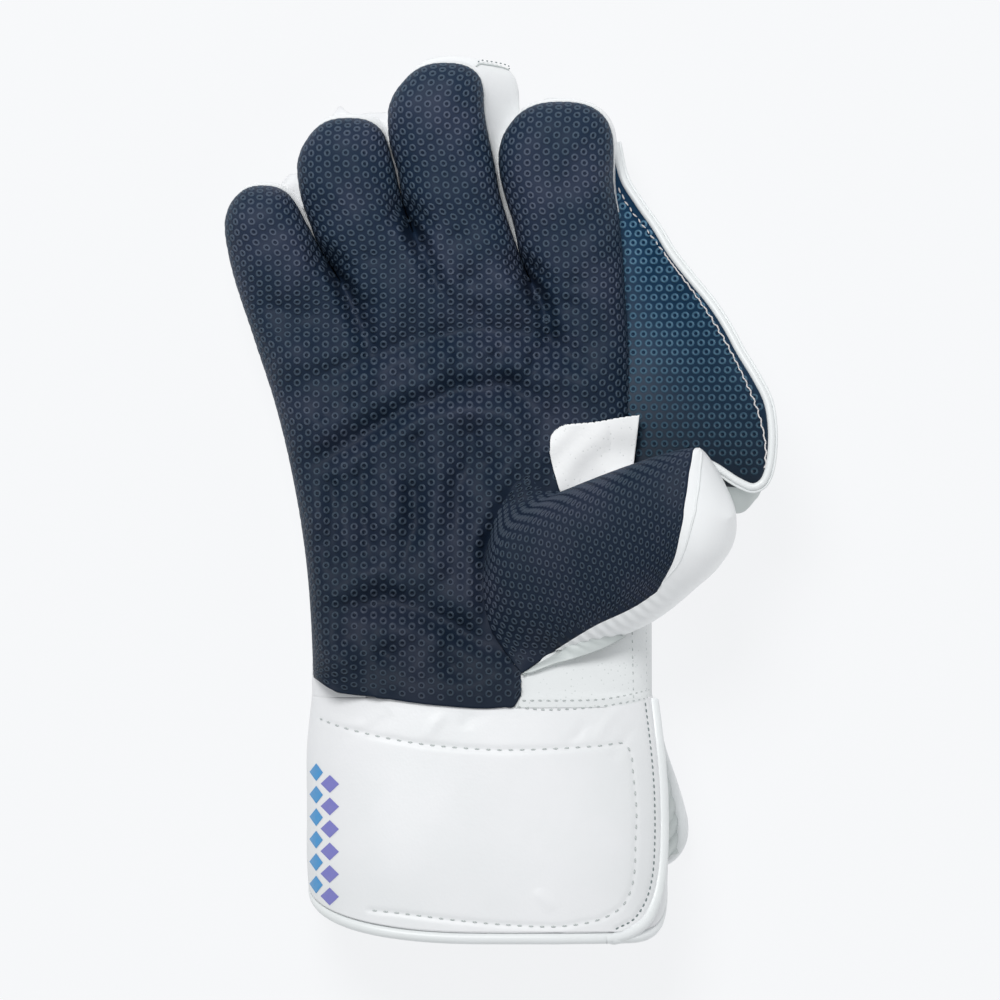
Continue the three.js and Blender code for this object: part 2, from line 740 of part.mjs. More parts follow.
// Names, finishes and places
const FINISHES = {
  rubber: new THREE.MeshStandardMaterial({ color: 0x26324a, roughness: 0.6, metalness: 0 }),
  web: new THREE.MeshStandardMaterial({ color: 0x1f3f60, roughness: 0.6, metalness: 0 }),
  leather: new THREE.MeshStandardMaterial({ color: 0xeceeef, roughness: 0.55, metalness: 0 }),
  suede: new THREE.MeshStandardMaterial({ color: 0xe2e6e6, roughness: 0.9, metalness: 0 }),
};

// The back of each finger leans towards the thumb and past the rubber's tip
function geometryOf(solid, lean) {
  const { vertProperties, triVerts } = solid.getMesh();
  const points = Float32Array.from(vertProperties);
  for (let at = 0; lean && at < points.length; at += 3) {
    const along = points[at + 1] / HAND_LENGTH;
    const seam = seamHeight(points[at + 1]);
    const under = THREE.MathUtils.clamp((seam - points[at + 2]) / (LEAN.under * seam), 0, 1);
    const shift = FINGER_LEAN * smooth(LEAN.start, LEAN.end, along) * under;
    points[at] += shift;
    points[at + 1] += LEAN.forward * shift;
  }
  const geometry = new THREE.BufferGeometry();
  geometry.setAttribute('position', new THREE.BufferAttribute(points, 3));
  geometry.setIndex(new THREE.BufferAttribute(Uint32Array.from(triVerts), 1));
  geometry.computeVertexNormals();
  return geometry;
}

const glove = new THREE.Group();
function place(name, solid, finish, lean = false) {
  const mesh = new THREE.Mesh(geometryOf(solid, lean), FINISHES[finish]);
  mesh.name = name;
  glove.add(mesh);
}

place('palm_rubber', palmRubber, 'rubber', true);
place('crotch_patch', crotchPatch, 'suede');
place('wrist_patch', wristPatch, 'suede');
place('hand_back', handBack, 'leather', true);
fingerWalls.forEach(({ name, solid }) => place(name, solid, 'leather', true));
place('thumb_rubber', thumbRubber, 'rubber');
place('thumb_leather', thumbLeather, 'leather');
place('web_rubber', webRubber, 'web');
place('web_leather', webLeather, 'leather');
place('web_piping', webPiping, 'leather');
place('cuff_front', cuffFront, 'leather');
place('cuff_back', cuffBack, 'leather');
place('cuff_front_piping', frontPiping, 'leather');
place('cuff_back_piping', backPiping, 'leather');

// The origin is the middle of the underside of the whole glove's box
const box = new THREE.Box3().setFromObject(glove, true);
glove.position.set(-(box.min.x + box.max.x) / 2, -(box.min.y + box.max.y) / 2, -box.min.z);

export default glove;
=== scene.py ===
import math

import bmesh
import bpy
import numpy as np
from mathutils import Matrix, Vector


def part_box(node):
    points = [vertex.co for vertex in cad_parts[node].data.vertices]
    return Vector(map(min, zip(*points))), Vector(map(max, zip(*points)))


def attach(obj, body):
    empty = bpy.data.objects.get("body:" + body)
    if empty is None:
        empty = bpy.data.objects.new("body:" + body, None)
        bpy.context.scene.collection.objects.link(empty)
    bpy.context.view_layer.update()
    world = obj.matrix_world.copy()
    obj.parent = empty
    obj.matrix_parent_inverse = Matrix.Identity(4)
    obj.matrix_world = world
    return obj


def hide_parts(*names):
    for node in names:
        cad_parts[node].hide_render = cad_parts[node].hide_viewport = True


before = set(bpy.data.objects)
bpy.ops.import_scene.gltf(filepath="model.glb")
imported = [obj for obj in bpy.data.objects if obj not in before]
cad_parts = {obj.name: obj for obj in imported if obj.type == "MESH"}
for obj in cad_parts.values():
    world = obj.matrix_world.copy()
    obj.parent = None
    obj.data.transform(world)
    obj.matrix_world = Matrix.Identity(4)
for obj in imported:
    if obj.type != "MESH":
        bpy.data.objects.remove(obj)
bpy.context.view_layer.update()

# A right-hand wicketkeeping glove, palm up. The pattern below is drawn in millimetres round the
# middle of the palm, with X towards the thumb, Y towards the fingertips and Z up from the floor.
MM = 0.001
WRIST_Y = -74.0
LITTLE_SIDE_X = -102.47
palm_low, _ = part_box("palm_rubber")
PATTERN_SHIFT = np.array([palm_low.x / MM - LITTLE_SIDE_X, palm_low.y / MM - WRIST_Y, 0.0])

# Driving sizes, as in the solids
HAND_LENGTH = 240.5
HAND_WIDTH = 128.0
HAND_THICKNESS = 49.0
FINGER_CURL = 19.0
FLATTENING = 4.0
SIDE_BAND = 11.0
CUFF_LENGTH = 92.0
CUFF_HEIGHT = 67.0
CUFF_PIPING = 4.4
WEB_SAG = 7.0
THUMB_RUN = 86.6
THUMB_RISE = 52.0
THUMB_HEADING = math.radians(25)
PALM_BOTTOM = -78.0
INDEX_START = -44.0

# Walls
RUBBER_WALL = 2.2
LEATHER_WALL = 3.0
WEB_WALL = 1.6
SUEDE_WALL = 1.4
SIDE_WALL = 1.0
FOLD_WALL = 0.9
COLLAR_WALL = 1.6
CUFF_FRONT_WALL = 4.0
CUFF_BACK_WALL = 6.0

# The gap at the seam between hand and cuff, and how high the suede laps over it
SEAM_GAP = 0.3
SUEDE_LAP = 0.9

# Where the slits between the fingers end, from the little finger's to the index finger's
SLIT_ONE = 95.3
SLIT_TWO = 113.0
SLIT_THREE = 92.0

# Powers that round the fingers' fronts, their backs and the thumb
FRONT_ROUNDING = 0.75
BACK_ROUNDING = 0.83
THUMB_ROUNDING = 0.87

# The raised rings of the rubber
RING_COLUMN = 3.6
RING_PITCH = 4.15
RING_SEGMENTS = 10
RING_RADII = np.array([1.5, 1.27, 0.9, 0.68, 0.08])
RING_HEIGHTS = np.array([-0.06, 0.42, 0.42, 0.04, 0.04])
# The bands of each ring that take the darker rubber: the hole's floor, as painted shade.
RING_SHADE_BANDS = (3,)

# The sides of the hand and the valleys between the fingers, x at a few y
LITTLE_LEFT = [
    (-78, -69.8), (-53, -70.3), (-23, -72.6), (7, -77.4), (37, -84.6), (60, -92.1), (90, -101.4),
    (104, -103.7), (119, -103.9),
]
VALLEY_ONE = [(-78, -45), (0, -45.5), (35, -46), (64.5, -51.6), (80, -58.5), (SLIT_ONE, -67.7)]
LITTLE_RIGHT = VALLEY_ONE + [(104, -71.8), (119, -74.0)]
RING_LEFT = VALLEY_ONE + [(104, -71.2), (112, -74.0), (123, -75.9), (144, -75.6)]
VALLEY_TWO = [(-78, -24), (0, -21), (35, -18.5), (67.5, -17.4), (84, -24.5), (98, -31.0), (113, -36.4)]
RING_RIGHT = VALLEY_TWO + [(123, -38.6), (134, -41.0), (144, -42.4)]
MIDDLE_LEFT = VALLEY_TWO + [(123, -37.9), (134, -41.0), (146, -41.8), (165, -41.8)]
VALLEY_THREE = [(-78, 8.4), (-60, 8.4), (-20, 12.5), (30, 16), (68.6, 17.8), (80, 13.0), (92, 8.1)]
MIDDLE_RIGHT = VALLEY_THREE + [(104, 3.8), (112, 1.3), (127, -1.7), (142, -4.7), (165, -6.0)]
INDEX_LEFT = VALLEY_THREE + [(104, 5.6), (112, 3.0), (120, 0.9), (134, -0.4), (150, -0.2)]
INDEX_RIGHT = [
    (-78, 57), (-50, 57), (-23, 54.5), (10, 50.8), (33, 50.4), (84, 47.4), (104, 45.7), (120, 43.2),
    (134, 43.8), (150, 44.2),
]

# Each finger: its sides, its tip, the length and the power of its dome, the slit ends on both sides,
# where its even rows end, how far its leather stands past the rubber, and its back's lean at a few y
STRIPS = {
    "little": {"left": LITTLE_LEFT, "right": LITTLE_RIGHT, "tip": (-88.7, 118.2), "dome": 22, "square": 2.4,
               "slits": (None, SLIT_ONE), "even": 96, "past": 0.6, "lean": [(84, 0), (100, 2), (119, 4.5)]},
    "ring": {"left": RING_LEFT, "right": RING_RIGHT, "tip": (-56.5, 143.4), "dome": 25, "square": 2.8,
             "slits": (SLIT_ONE, SLIT_TWO), "even": 114, "past": 1.0,
             "lean": [(84, 0), (113, 1.5), (144, 5.0)]},
    "middle": {"left": MIDDLE_LEFT, "right": MIDDLE_RIGHT, "tip": (-20.0, 164.0), "dome": 24, "square": 2.6,
               "slits": (SLIT_TWO, SLIT_THREE), "even": 114, "past": 2.2,
               "lean": [(86, 0), (94, 1), (104, 4), (115, 8), (130, 12), (142, 13.6), (165, 13.6)]},
    "index": {"left": INDEX_LEFT, "right": INDEX_RIGHT, "tip": (23.5, 149.5), "dome": 26, "square": 2.6,
              "slits": (SLIT_THREE, None), "even": 96, "past": 0.6,
              "lean": [(84, 0), (110, 0.6), (150, 1.4)]},
}

# The palm's lower edge, y at a few x, with a rounded corner at the wrist patch
PALM_HEM = [
    (-75, -66), (-69.6, -67.1), (-63.2, -70.9), (-44.4, -74.3), (-21.9, -77.3), (2, -77.9), (6.2, -77.2),
    (8.4, -73.4),
]

# The top of the hand at shares of its length, as a share of its thickness
PALM_TOPS = [(0.0, 1.16), (0.1, 1.08), (0.225, 1.0), (0.35, 0.97), (0.474, 0.97), (0.54, 0.96)]
WRIST_TOP = HAND_THICKNESS * PALM_TOPS[0][1]


def smoothstep(low, high, value):
    """0 at low, 1 at high and 3s^2 - 2s^3 between them, whichever of the two is larger."""
    share = np.clip((np.asarray(value, float) - low) / (high - low), 0, 1)
    return share * share * (3 - 2 * share)


def through(rows, at):
    """A cubic through the rows (place, value), with the slope of its neighbours at each row."""
    places, values = np.array(rows, float).T
    slopes = np.gradient(values, places)
    at = np.clip(np.asarray(at, float), places[0], places[-1])
    row = np.clip(np.searchsorted(places, at, side="right") - 1, 0, len(places) - 2)
    span = places[row + 1] - places[row]
    share = (at - places[row]) / span
    square, cube = share**2, share**3
    return (
        (2 * cube - 3 * square + 1) * values[row]
        + (cube - 2 * square + share) * span * slopes[row]
        + (3 * square - 2 * cube) * values[row + 1]
        + (cube - square) * span * slopes[row + 1]
    )


def path_through(points, count):
    """A smooth path through points of any dimension, as count points at even distances."""
    points = np.array(points, float)
    steps = np.linalg.norm(np.diff(points, axis=0), axis=1) ** 0.5
    knots = np.concatenate([[0], np.cumsum(steps)])
    fine = np.linspace(0, knots[-1], 40 * len(points))
    dense = np.stack([through(np.stack([knots, axis], 1), fine) for axis in points.T], 1)
    lengths = lengths_along(dense)
    even = np.linspace(0, lengths[-1], count)
    return np.stack([np.interp(even, lengths, axis) for axis in dense.T], 1)


def lengths_along(points, axis=0):
    """The arc length from the first point, along a path or along one axis of a grid."""
    steps = np.linalg.norm(np.diff(points, axis=axis), axis=-1)
    return np.concatenate([0 * np.take(steps, [0], axis), np.cumsum(steps, axis=axis)], axis)


def power(value, exponent):
    """A power of the size of a value, with the value's own sign."""
    return np.sign(value) * np.abs(value) ** exponent


def unit(vectors):
    """Each vector divided by its length."""
    return vectors / np.maximum(np.linalg.norm(vectors, axis=-1, keepdims=True), 1e-12)


def mix(first, second, share):
    """In a straight line from the first, at share 0, to the second, at share 1."""
    return first + (second - first) * share


def bell(distance, width):
    """e^-(d/w)^2: 1 in the middle, falling off over the width."""
    return np.exp(-((distance / width) ** 2))


def rounded(low, high, wave):
    """A side of a rounded oblong: the middle of low and high, and half their distance times wave^(2/3)."""
    return (low + high) / 2 + (high - low) / 2 * power(wave, 2 / 3)


def rounded_top(low, high, share):
    """The top of that oblong at a share s of its half width: the wave there is (1 - s^3)^(1/2)."""
    return (high + low) / 2 + (high - low) / 2 * (1 - share**3) ** (1 / 3)


def upward(count, aside=0.0):
    """As many directions straight up, or leaning a little towards the thumb."""
    return np.tile([aside, 0.0, 1.0], (count, 1))


# Meshes from arrays

def new_mesh(name, points, faces, uv=None):
    """A mesh object from points in pattern millimetres and an array of equal faces."""
    points = (np.asarray(points, float).reshape(-1, 3) + PATTERN_SHIFT) * MM
    faces = np.asarray(faces, np.int32)
    corners = faces.shape[1]
    mesh = bpy.data.meshes.new(name)
    mesh.vertices.add(len(points))
    mesh.vertices.foreach_set("co", points.ravel())
    mesh.loops.add(faces.size)
    mesh.loops.foreach_set("vertex_index", faces.ravel())
    mesh.polygons.add(len(faces))
    mesh.polygons.foreach_set("loop_start", np.arange(0, faces.size, corners, dtype=np.int32))
    mesh.polygons.foreach_set("use_smooth", np.ones(len(faces), bool))
    mesh.update(calc_edges=True)
    if uv is not None:
        layer = mesh.uv_layers.new(name="pattern")
        layer.data.foreach_set("uv", np.asarray(uv, float).reshape(-1, 2)[faces.ravel()].ravel())
    mesh.validate()
    piece = bpy.data.objects.new(name, mesh)
    bpy.context.scene.collection.objects.link(piece)
    return piece


def grid_faces(rows, columns, wrap=False, flip=False):
    """Quads of a grid whose points run along the columns first. wrap joins its last column to the first."""
    row, column = np.meshgrid(np.arange(rows - 1), np.arange(columns - (not wrap)), indexing="ij")
    right = (column + 1) % columns
    here, above = row * columns, (row + 1) * columns
    quads = np.stack([here + column, here + right, above + right, above + column], -1).reshape(-1, 4)
    return quads[:, ::-1] if flip else quads


def repeated_faces(one, points, count):
    """The faces of one small mesh of so many points, repeated for a count of copies."""
    return (one[None] + points * np.arange(count)[:, None, None]).reshape(-1, 4)


def weld(piece, distance=0.01):
    """Merges the points of a piece that lie within a distance in millimetres."""
    work = bmesh.new()
    work.from_mesh(piece.data)
    bmesh.ops.remove_doubles(work, verts=work.verts, dist=distance * MM)
    work.to_mesh(piece.data)
    work.free()
    piece.data.polygons.foreach_set("use_smooth", np.ones(len(piece.data.polygons), bool))
    return piece


def join_grids(name, grids, flip=False):
    """One welded mesh from several grids of points."""
    points, faces, start = [], [], 0
    for grid in grids:
        rows, columns = grid.shape[:2]
        faces.append(grid_faces(rows, columns, flip=flip) + start)
        points.append(grid.reshape(-1, 3))
        start += rows * columns
    return weld(new_mesh(name, np.concatenate(points), np.concatenate(faces)))


def thicken(piece, wall):
    """Gives a skin its wall, inwards from the faces that show."""
    solid = piece.modifiers.new("wall", "SOLIDIFY")
    solid.thickness = wall * MM
    solid.offset = -1
    solid.use_rim = True
    return piece


def tube(name, path, normals, radius, sides=14):
    """A round roll along a path: each ring is the radius times (cos, sin), square to the path."""
    path = np.asarray(path, float)
    tangents = unit(np.gradient(path, axis=0))
    first = unit(normals - np.sum(normals * tangents, 1, keepdims=True) * tangents)
    second = np.cross(tangents, first)
    angles = np.linspace(0, 2 * np.pi, sides, endpoint=False)
    radius = np.broadcast_to(np.asarray(radius, float), (len(path),))
    rings = path[:, None] + radius[:, None, None] * (
        np.cos(angles)[None, :, None] * first[:, None] + np.sin(angles)[None, :, None] * second[:, None]
    )
    hubs = np.stack([path[0], path[-1]])
    points = np.concatenate([rings.reshape(-1, 3), hubs])
    body = grid_faces(len(path), sides, wrap=True)
    start = len(path) * sides
    around = np.arange(sides)
    after = (around + 1) % sides
    last = (len(path) - 1) * sides
    caps = np.concatenate([
        np.stack([np.full(sides, start), np.full(sides, start), after, around], 1),
        np.stack([np.full(sides, start + 1), np.full(sides, start + 1), last + around, last + after], 1),
    ])
    piece = new_mesh(name, points, np.concatenate([body, caps]))
    return weld(piece)


def stitches(name, centres, directions, normals, length, width, height):
    """
    Sewn threads: each is half an ellipsoid that lies on the surface, half the length times sin a, half
    the width times cos a cos b, and the height times cos a sin b.
    """
    across = unit(np.cross(normals, directions))
    a = np.linspace(-np.pi / 2, np.pi / 2, 6)
    b = np.linspace(0, np.pi, 6)
    along = np.sin(a)[:, None] * np.ones(6)[None, :] * length / 2
    aside = np.cos(a)[:, None] * np.cos(b)[None, :] * width / 2
    lift = np.cos(a)[:, None] * np.sin(b)[None, :] * height
    shape = [part.ravel()[None, :, None] for part in (along, aside, lift)]
    points = (
        centres[:, None]
        + shape[0] * directions[:, None]
        + shape[1] * across[:, None]
        + shape[2] * normals[:, None]
    )
    one = grid_faces(6, 6, flip=True)
    return new_mesh(name, points, repeated_faces(one, 36, len(centres)))


def fit(piece, nodes=(), material=None):
    """Puts a finished piece on the glove's body with its material and the solids it stands for."""
    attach(piece, "root")
    if nodes:
        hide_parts(*nodes)
    if material is not None:
        piece.data.materials.clear()
        piece.data.materials.append(material)
    return piece


def make_skin(name, grids, wall, nodes, material, flip=False):
    """A skin of one or more welded grids, with its wall, put on the glove."""
    return fit(thicken(join_grids(name, grids, flip), wall), nodes, material)


def sheet_between(name, first, second, wall=1.2, rows=16, columns=60, waves=0.0, flip=False):
    """A thin sheet ruled between two curves, bulging by half a sine, with waves along it if wanted."""
    first, second = path_through(first, columns), path_through(second, columns)
    share = np.linspace(0, 1, rows)[:, None, None]
    points = first[None] * (1 - share) + second[None] * share
    part = np.linspace(0, 1, columns)[None, :]
    ripple = waves * np.sin(part * 41 + 5 * share[..., 0]) * np.sin(np.pi * share[..., 0])
    points[..., 2] += 0.8 * np.sin(np.pi * share[..., 0]) + ripple
    return thicken(join_grids(name, [points], not flip), wall)


def make_running_stitch(name, path, normals, pitch, length, width, material, lift=0.35):
    """Threads laid end to end along a path, one each pitch."""
    lengths = lengths_along(path)
    places = np.arange(pitch / 2, lengths[-1], pitch)
    centres = np.stack([np.interp(places, lengths, axis) for axis in path.T], 1)
    ahead = np.stack([np.interp(places + 0.3, lengths, axis) for axis in path.T], 1)
    up = unit(np.stack([np.interp(places, lengths, axis) for axis in np.asarray(normals).T], 1))
    directions = unit(ahead - centres)
    up = unit(up - np.sum(up * directions, 1, keepdims=True) * directions)
    piece = stitches(name, centres + lift * 0.2 * up, directions, up, length, width, lift)
    return fit(piece, (), material)


# Materials. Grains and pores are counted a metre.
LEATHER_GRAINS = 900
SUEDE_PORES = 520


def shader(name, colour, roughness):
    """A material of one colour and roughness, with its nodes, links and surface node."""
    material = bpy.data.materials.new(name)
    material.use_nodes = True
    nodes = material.node_tree.nodes
    surface = nodes["Principled BSDF"]
    surface.inputs["Base Color"].default_value = (*colour, 1)
    surface.inputs["Roughness"].default_value = roughness
    return material, nodes, material.node_tree.links, surface


def noise(nodes, links, scale, detail):
    """Soft noise on the object's own coordinates, as many clouds a metre as the scale."""
    texture = nodes.new("ShaderNodeTexNoise")
    texture.inputs["Scale"].default_value = scale
    texture.inputs["Detail"].default_value = detail
    links.new(object_coordinates(nodes), texture.inputs["Vector"])
    return texture.outputs["Fac"]


def cells(nodes, links, scale):
    """The distance to the nearest of scattered points, as many a metre as the scale."""
    texture = nodes.new("ShaderNodeTexVoronoi")
    texture.inputs["Scale"].default_value = scale
    links.new(object_coordinates(nodes), texture.inputs["Vector"])
    return texture.outputs["Distance"]


def object_coordinates(nodes):
    """The place on the piece in metres, from one node for each material."""
    found = nodes.get("Texture Coordinate") or nodes.new("ShaderNodeTexCoord")
    return found.outputs["Object"]


def ramp(nodes, links, source, stops):
    """A colour ramp through stops of (place, colour)."""
    node = nodes.new("ShaderNodeValToRGB")
    elements = node.color_ramp.elements
    while len(elements) < len(stops):
        elements.new(0.5)
    for element, (place, colour) in zip(elements, stops):
        element.position = place
        element.color = (*colour, 1)
    links.new(source, node.inputs["Fac"])
    return node.outputs["Color"]


def tint(nodes, links, surface, source, stops):
    """Colours a surface by a source through a ramp."""
    links.new(ramp(nodes, links, source, stops), surface.inputs["Base Color"])


def bump(nodes, links, height, strength, distance, normal=None):
    """A fine relief by a height, its distance in millimetres, on top of another one if given."""
    node = nodes.new("ShaderNodeBump")
    node.inputs["Strength"].default_value = strength
    node.inputs["Distance"].default_value = distance * MM
    links.new(height, node.inputs["Height"])
    if normal is not None:
        links.new(normal, node.inputs["Normal"])
    return node.outputs["Normal"]


def rubber_material(name, dark, light, roughness, painted_shading):
    """
    Matt rubber: two close tones in soft clouds and a fine pebble that breaks up the gloss. Its
    painted_shading
    is (low y, high y, factor at the low one, factor at the high one): painted shade that darkens the colour
    at low y and painted light that lightens it at high y, a slow change along the hand.
    """
    material, nodes, links, surface = shader(name, dark, roughness)
    clouds = ramp(nodes, links, noise(nodes, links, 38, 4), [(0.44, dark), (0.66, light)])
    parts = nodes.new("ShaderNodeSeparateXYZ")
    links.new(object_coordinates(nodes), parts.inputs["Vector"])
    slope = nodes.new("ShaderNodeMapRange")
    values = (painted_shading[0] * MM, painted_shading[1] * MM, *painted_shading[2:])
    for socket, value in zip(("From Min", "From Max", "To Min", "To Max"), values):
        slope.inputs[socket].default_value = value
    links.new(parts.outputs["Y"], slope.inputs["Value"])
    scaled = nodes.new("ShaderNodeVectorMath")
    scaled.operation = "SCALE"
    links.new(clouds, scaled.inputs[0])
    links.new(slope.outputs["Result"], scaled.inputs["Scale"])
    links.new(scaled.outputs["Vector"], surface.inputs["Base Color"])
    pebble = bump(nodes, links, noise(nodes, links, 1600, 2), 0.35, 0.12)
    links.new(pebble, surface.inputs["Normal"])
    surface.inputs["Specular IOR Level"].default_value = 0.22
    return material


def leather_material(name, colour, shade, roughness, grain=0.25):
    """White leather: a fine grain of small cells, a soft waviness and slightly grey clouds."""
    material, nodes, links, surface = shader(name, colour, roughness)
    tint(nodes, links, surface, noise(nodes, links, 22, 5), [(0.3, shade), (0.6, colour)])
    grains = cells(nodes, links, LEATHER_GRAINS)
    waves = bump(nodes, links, noise(nodes, links, 70, 3), 0.35, 0.5)
    fine = bump(nodes, links, grains, grain, 0.1, waves)
    links.new(fine, surface.inputs["Normal"])
    surface.inputs["Subsurface Weight"].default_value = 0.05
    surface.inputs["Subsurface Radius"].default_value = (0.002, 0.002, 0.002)
    return material


def suede_material(name, colour, pore_shade):
    """White suede: a soft nap with pricked pores about two millimetres apart, painted darker as the shade in
    each pore.
    """
    material, nodes, links, surface = shader(name, colour, 0.95)
    pores = cells(nodes, links, SUEDE_PORES)
    tint(nodes, links, surface, pores, [(0.06, pore_shade), (0.2, colour)])
    nap = bump(nodes, links, noise(nodes, links, 1100, 4), 0.5, 0.15)
    links.new(bump(nodes, links, pores, 0.4, 0.12, nap), surface.inputs["Normal"])
    surface.inputs["Sheen Weight"].default_value = 0.2
    return material


def thread_material(name, colour):
    """Sewing thread: slanting plies as a sine of the place, a little lint and a soft sheen."""
    material, nodes, links, surface = shader(name, colour, 0.65)
    plies = nodes.new("ShaderNodeTexWave")
    plies.bands_direction = "DIAGONAL"
    plies.inputs["Scale"].default_value = 700
    plies.inputs["Distortion"].default_value = 2.0
    links.new(object_coordinates(nodes), plies.inputs["Vector"])
    low = tuple(0.78 * part for part in colour)
    tint(nodes, links, surface, plies.outputs["Fac"], [(0.2, low), (0.6, colour)])
    lint = bump(nodes, links, noise(nodes, links, 2600, 3), 0.4, 0.05)
    links.new(bump(nodes, links, plies.outputs["Fac"], 0.5, 0.1, lint), surface.inputs["Normal"])
    surface.inputs["Sheen Weight"].default_value = 0.15
    return material


def print_material(name, colour):
    """Ink pressed into the leather: it is thinner on the grain's ridges and keeps their relief."""
    material, nodes, links, surface = shader(name, colour, 0.45)
    worn = tuple(0.86 * part + 0.05 for part in colour)
    tint(nodes, links, surface, noise(nodes, links, 420, 4), [(0.3, colour), (0.75, worn)])
    links.new(bump(nodes, links, cells(nodes, links, LEATHER_GRAINS), 0.3, 0.1), surface.inputs["Normal"])
    return material


# Painted shade and light along the hand: low y, high y, and the factors that darken the rubber's colour at
# low y and lighten it at high y.
PALM_PAINTED_SHADING = (-80, 150, 0.66, 1.3)
WEB_PAINTED_SHADING = (5, 105, 0.3, 1.7)
NAVY = rubber_material("navy_rubber", (0.007, 0.018, 0.040), (0.0170, 0.0265, 0.053), 0.6, PALM_PAINTED_SHADING)
# The rings' rubber is lighter as a painted highlight, and their holes darker as painted shade.
NAVY_RING_PAINTED_HIGHLIGHT = rubber_material("navy_rings_painted_highlight", (0.042, 0.066, 0.098), (0.063, 0.079, 0.119), 0.55, PALM_PAINTED_SHADING)
NAVY_HOLE_PAINTED_SHADE = rubber_material("navy_ring_holes_painted_shade", (0.004, 0.012, 0.028), (0.008, 0.015, 0.034), 0.6, PALM_PAINTED_SHADING)
WEB_BLUE = rubber_material("blue_web_rubber", (0.006, 0.028, 0.062), (0.013, 0.040, 0.082), 0.5, WEB_PAINTED_SHADING)
# The web's rings are lighter as a painted highlight, and their holes darker as painted shade.
WEB_RING_PAINTED_HIGHLIGHT = rubber_material("blue_web_rings_painted_highlight", (0.052, 0.120, 0.185), (0.070, 0.150, 0.220), 0.45, WEB_PAINTED_SHADING)
WEB_HOLE_PAINTED_SHADE = rubber_material(
    "blue_web_ring_holes_painted_shade", (0.002, 0.018, 0.048), (0.003, 0.022, 0.056), 0.6, WEB_PAINTED_SHADING
)
WHITE = leather_material("white_leather", (0.84, 0.845, 0.855), (0.80, 0.815, 0.82), 0.42)
ROLLED = leather_material("rolled_edge", (0.83, 0.85, 0.855), (0.80, 0.825, 0.82), 0.38, grain=0.12)
# A lighter copy of the white leather: painted light on the fingers' side walls and the thumb's leather.
LEATHER_PAINTED_LIGHT = leather_material("leather_painted_light", (0.92, 0.93, 0.935), (0.89, 0.905, 0.91), 0.42)
# A lighter copy of the white suede: painted light on the crotch patch, which lies in the thumb's shade.
SUEDE_PAINTED_LIGHT = suede_material("crotch_suede", (0.98, 0.985, 0.985), (0.74, 0.76, 0.75))
# Painted shade: a darker copy of the white leather for a band, a layer, a lining and a seam that lie in
# shade.
SHADED = leather_material("shaded_leather", (0.60, 0.64, 0.63), (0.56, 0.60, 0.59), 0.5)
SUEDE = suede_material("white_suede", (0.80, 0.82, 0.82), (0.62, 0.65, 0.64))
THREAD = thread_material("white_thread", (0.80, 0.76, 0.75))
# Stitch marks coloured grey and dark: painted shade of the white thread in its recesses.
THREAD_PAINTED_SHADE = thread_material("thread_painted_shade", (0.56, 0.60, 0.59))
THREAD_PAINTED_DEEP_SHADE = thread_material("thread_painted_deep_shade", (0.20, 0.25, 0.25))
PRINT_BLUE = print_material("blue_print", (0.045, 0.30, 0.64))
PRINT_VIOLET = print_material("periwinkle_print", (0.20, 0.20, 0.56))


# The heights of the hand

def along_hand(y):
    """The share of the hand's length at y, 0 at the wrist and 1 at the middle fingertip."""
    return (np.asarray(y, float) - WRIST_Y) / HAND_LENGTH


def finger_curl(y):
    """How far a finger has curled up at y, a power of the distance past the knuckles."""
    return np.maximum((along_hand(y) - 0.6) / 0.35, 0) ** 1.2


def hand_top(y):
    """The crown of palm and fingers: the table's share of the thickness and a part of the curl."""
    return HAND_THICKNESS * through(PALM_TOPS, along_hand(y)) + 7 * finger_curl(y)


def hand_bottom(y):
    """The back: sunk by the flattening at the palm, level past it and curled up at the fingers."""
    return -FLATTENING + FINGER_CURL * finger_curl(y) + FLATTENING * smoothstep(0.5, 0.7, along_hand(y))


def seam_height(y):
    """The seam between rubber and leather runs halfway up the hand."""
    bottom = np.maximum(hand_bottom(y), 0)
    return bottom + 0.5 * (hand_top(y) - bottom)


# Relief of the palm

def distance_to(path, x, y):
    """The distance of each (x, y) to a polyline, and the share of its length at the nearest point."""
    path = np.asarray(path, float)
    best = np.full(np.shape(x), 1e9)
    share = np.zeros(np.shape(x))
    for index in range(len(path) - 1):
        start, step = path[index], path[index + 1] - path[index]
        t = np.clip(((x - start[0]) * step[0] + (y - start[1]) * step[1]) / (step @ step), 0, 1)
        gap = np.hypot(x - start[0] - t * step[0], y - start[1] - t * step[1])
        near = gap < best
        best = np.where(near, gap, best)
        share = np.where(near, (index + t) / (len(path) - 1), share)
    return best, share


